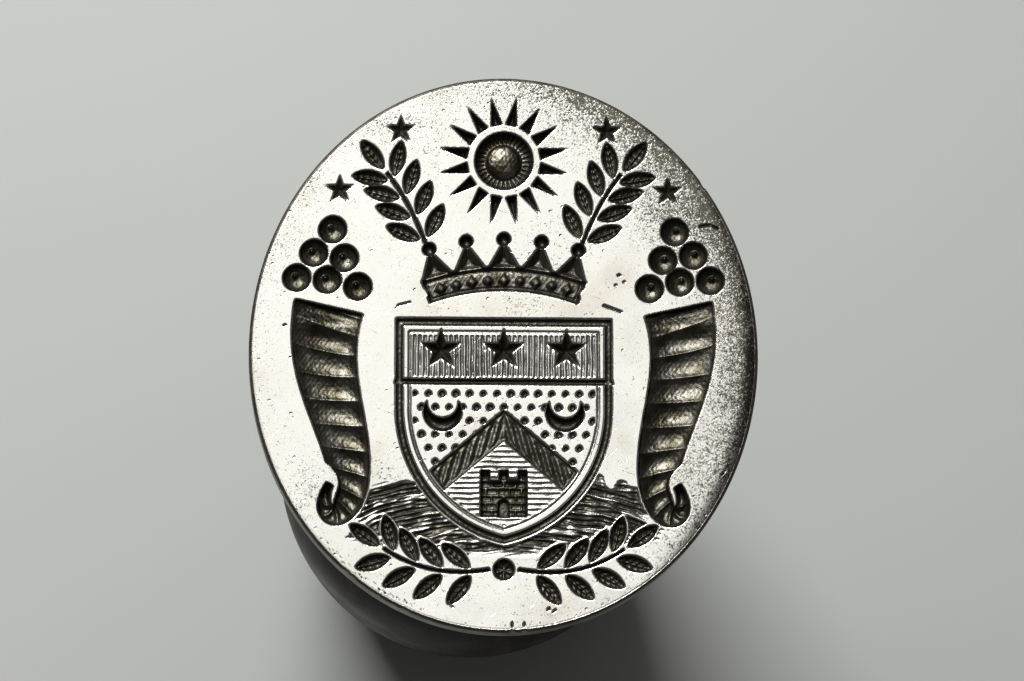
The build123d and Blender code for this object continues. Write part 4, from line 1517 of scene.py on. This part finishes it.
class SEAL_OT_handle_grip(Operator):
    """Turned wood grip: foot, bulb with scribed lines, cove, collar and the bored tenon"""

    bl_idname = "seal.handle_grip"
    bl_label = "Grip"

    def execute(self, context):
        tenon = FERRULE_RADIUS - FERRULE_WALL
        seat = FERRULE_RADIUS + FERRULE_SEAT_MARGIN
        cove = (COVE_RADIUS, FERRULE_FOOT_Z - COVE_DROP)
        collar_z = FERRULE_FOOT_Z - COLLAR_LENGTH
        root = (seat - COLLAR_STEP, collar_z)
        bulb, foot = (BULB_RADIUS, BULB_HEIGHT), (GRIP_FOOT_RADIUS, GRIP_FOOT_EDGE)
        rest = (GRIP_FOOT_RADIUS - GRIP_FOOT_EDGE, 0.0)
        turn = ((bulb[0] + cove[0]) / 2, (bulb[1] + cove[1]) / 2)
        outside = run_of(
            line(*LATHE_MARK, rest),
            tangent_arc(rest, foot, (1, 0), GRIP_FOOT_STEPS),
            tangent_arc(bulb, foot, (0, -1), BULB_STEPS)[::-1],
            tangent_arc(bulb, turn, (0, 1), SWEEP_STEPS),
            tangent_arc(cove, turn, (0, -1), SWEEP_STEPS)[::-1],
            tangent_arc(cove, root, (0, 1), COVE_STEPS),
            line(root, (seat, collar_z)),
            bead((seat, collar_z), (seat, FERRULE_FOOT_Z), COLLAR_BULGE, COLLAR_STEPS),
        )
        for level in SCRIBED_LINES:
            outside[:, 0] -= SCRIBED_DEPTH * hump(outside[:, 1] - level, SCRIBED_WIDTH)
        inside = line(
            (tenon, FERRULE_FOOT_Z), (tenon, TENON_TOP_Z), (GRIP_BORE_RADIUS, TENON_TOP_Z),
            (GRIP_BORE_RADIUS, CEMENT_LOW[2]),
        )
        piece = carried_piece("wood_grip", turned_points(run_of(outside, inside), TURNED_SIDES))
        dress(piece, dark_wood(context.scene.seal_finish), "handle", "grip_wood", "handle_grip")
        return {"FINISHED"}


class SEAL_OT_stage(Operator):
    """Pale table, soft lights and a camera that looks down on the face"""

    bl_idname = "seal.stage"
    bl_label = "Stage"

    def execute(self, context):
        scene, stage = context.scene, context.scene.seal_stage
        colour = tuple(stage.floor)
        scene.view_settings.view_transform = "Standard"
        corners = np.array([(-1, -1, 0), (1, -1, 0), (1, 1, 0), (-1, 1, 0)]) * TABLE_HALF / MM
        floor = new_piece("table", corners, np.array([[0, 1, 2, 3]]))
        floor.data.materials.append(table_top(colour, stage.backdrop))
        scene.world = studio(colour, stage.fill, stage.backdrop)
        face = Vector((0.0, 0.0, FACE_Z * MM))
        below_panel = face + Vector((*PANEL_PLACE[:2], 0.0))
        self.lamp("overhead_panel", face + PANEL_PLACE, below_panel, PANEL_SIZE, stage.panel_power)
        self.lamp("key_lamp", face + KEY_PLACE, face, KEY_SIZE, stage.key_power)
        away = math.sin(stage.tilt)
        sight = Vector((-math.sin(stage.swing) * away, -math.cos(stage.swing) * away, math.cos(stage.tilt)))
        data = bpy.data.cameras.new("camera")
        data.lens = stage.lens
        data.sensor_width = SENSOR_WIDTH
        data.clip_start, data.clip_end = NEAREST_SEEN, FARTHEST_SEEN
        camera = bpy.data.objects.new("camera", data)
        camera.location = face + sight * stage.distance
        camera.rotation_euler = self.upright_towards(face + AIM - camera.location)
        scene.collection.objects.link(camera)
        scene.camera = camera
        return {"FINISHED"}

    @staticmethod
    def upright_towards(sight):
        """Turn that looks along sight with the design's top up in the picture."""
        back = -sight.normalized()
        right = Vector((0.0, 1.0, 0.0)).cross(back).normalized()
        return Matrix((right, back.cross(right), back)).transposed().to_euler()

    @staticmethod
    def lamp(name, place, target, size, power):
        """Square soft lamp at a place, turned to a target."""
        data = bpy.data.lights.new(name, "AREA")
        data.size = size
        data.energy = power
        lamp = bpy.data.objects.new(name, data)
        lamp.location = place
        lamp.rotation_euler = (target - place).to_track_quat("-Z", "Y").to_euler()
        bpy.context.scene.collection.objects.link(lamp)


class SEAL_PT_sidebar(Panel):
    """Sidebar panel with the settings, and the pieces in building order"""

    bl_idname = "SEAL_PT_sidebar"
    bl_label = "Wax seal stamp"
    bl_space_type = "VIEW_3D"
    bl_region_type = "UI"
    bl_category = "Seal"

    def draw(self, context):
        for group in SETTINGS:
            for name in SETTINGS[group].__annotations__:
                self.layout.prop(getattr(context.scene, group), name)
        for operator in OPERATORS:
            self.layout.operator(operator.bl_idname)


SETTINGS = {
    "seal_engraving": SealEngravingSettings,
    "seal_finish": SealFinishSettings,
    "seal_stage": SealStageSettings,
}
OPERATORS = (
    SEAL_OT_die_face,
    SEAL_OT_die_body,
    SEAL_OT_screw_stud,
    SEAL_OT_die_washer,
    SEAL_OT_threaded_socket,
    SEAL_OT_ferrule,
    SEAL_OT_handle_grip,
    SEAL_OT_stage,
)
CLASSES = (*SETTINGS.values(), *OPERATORS, SEAL_PT_sidebar)


def register():
    """Registers the classes and hangs the settings on the scene."""
    for item in CLASSES:
        bpy.utils.register_class(item)
    for name, group in SETTINGS.items():
        setattr(bpy.types.Scene, name, PointerProperty(type=group))


def unregister():
    """Takes the settings off the scene and the classes out again."""
    for name in SETTINGS:
        delattr(bpy.types.Scene, name)
    for item in reversed(CLASSES):
        bpy.utils.unregister_class(item)


def main():
    register()
    for operator in OPERATORS:
        group, name = operator.bl_idname.split(".")
        getattr(getattr(bpy.ops, group), name)()


if __name__ == "__main__":
    main()
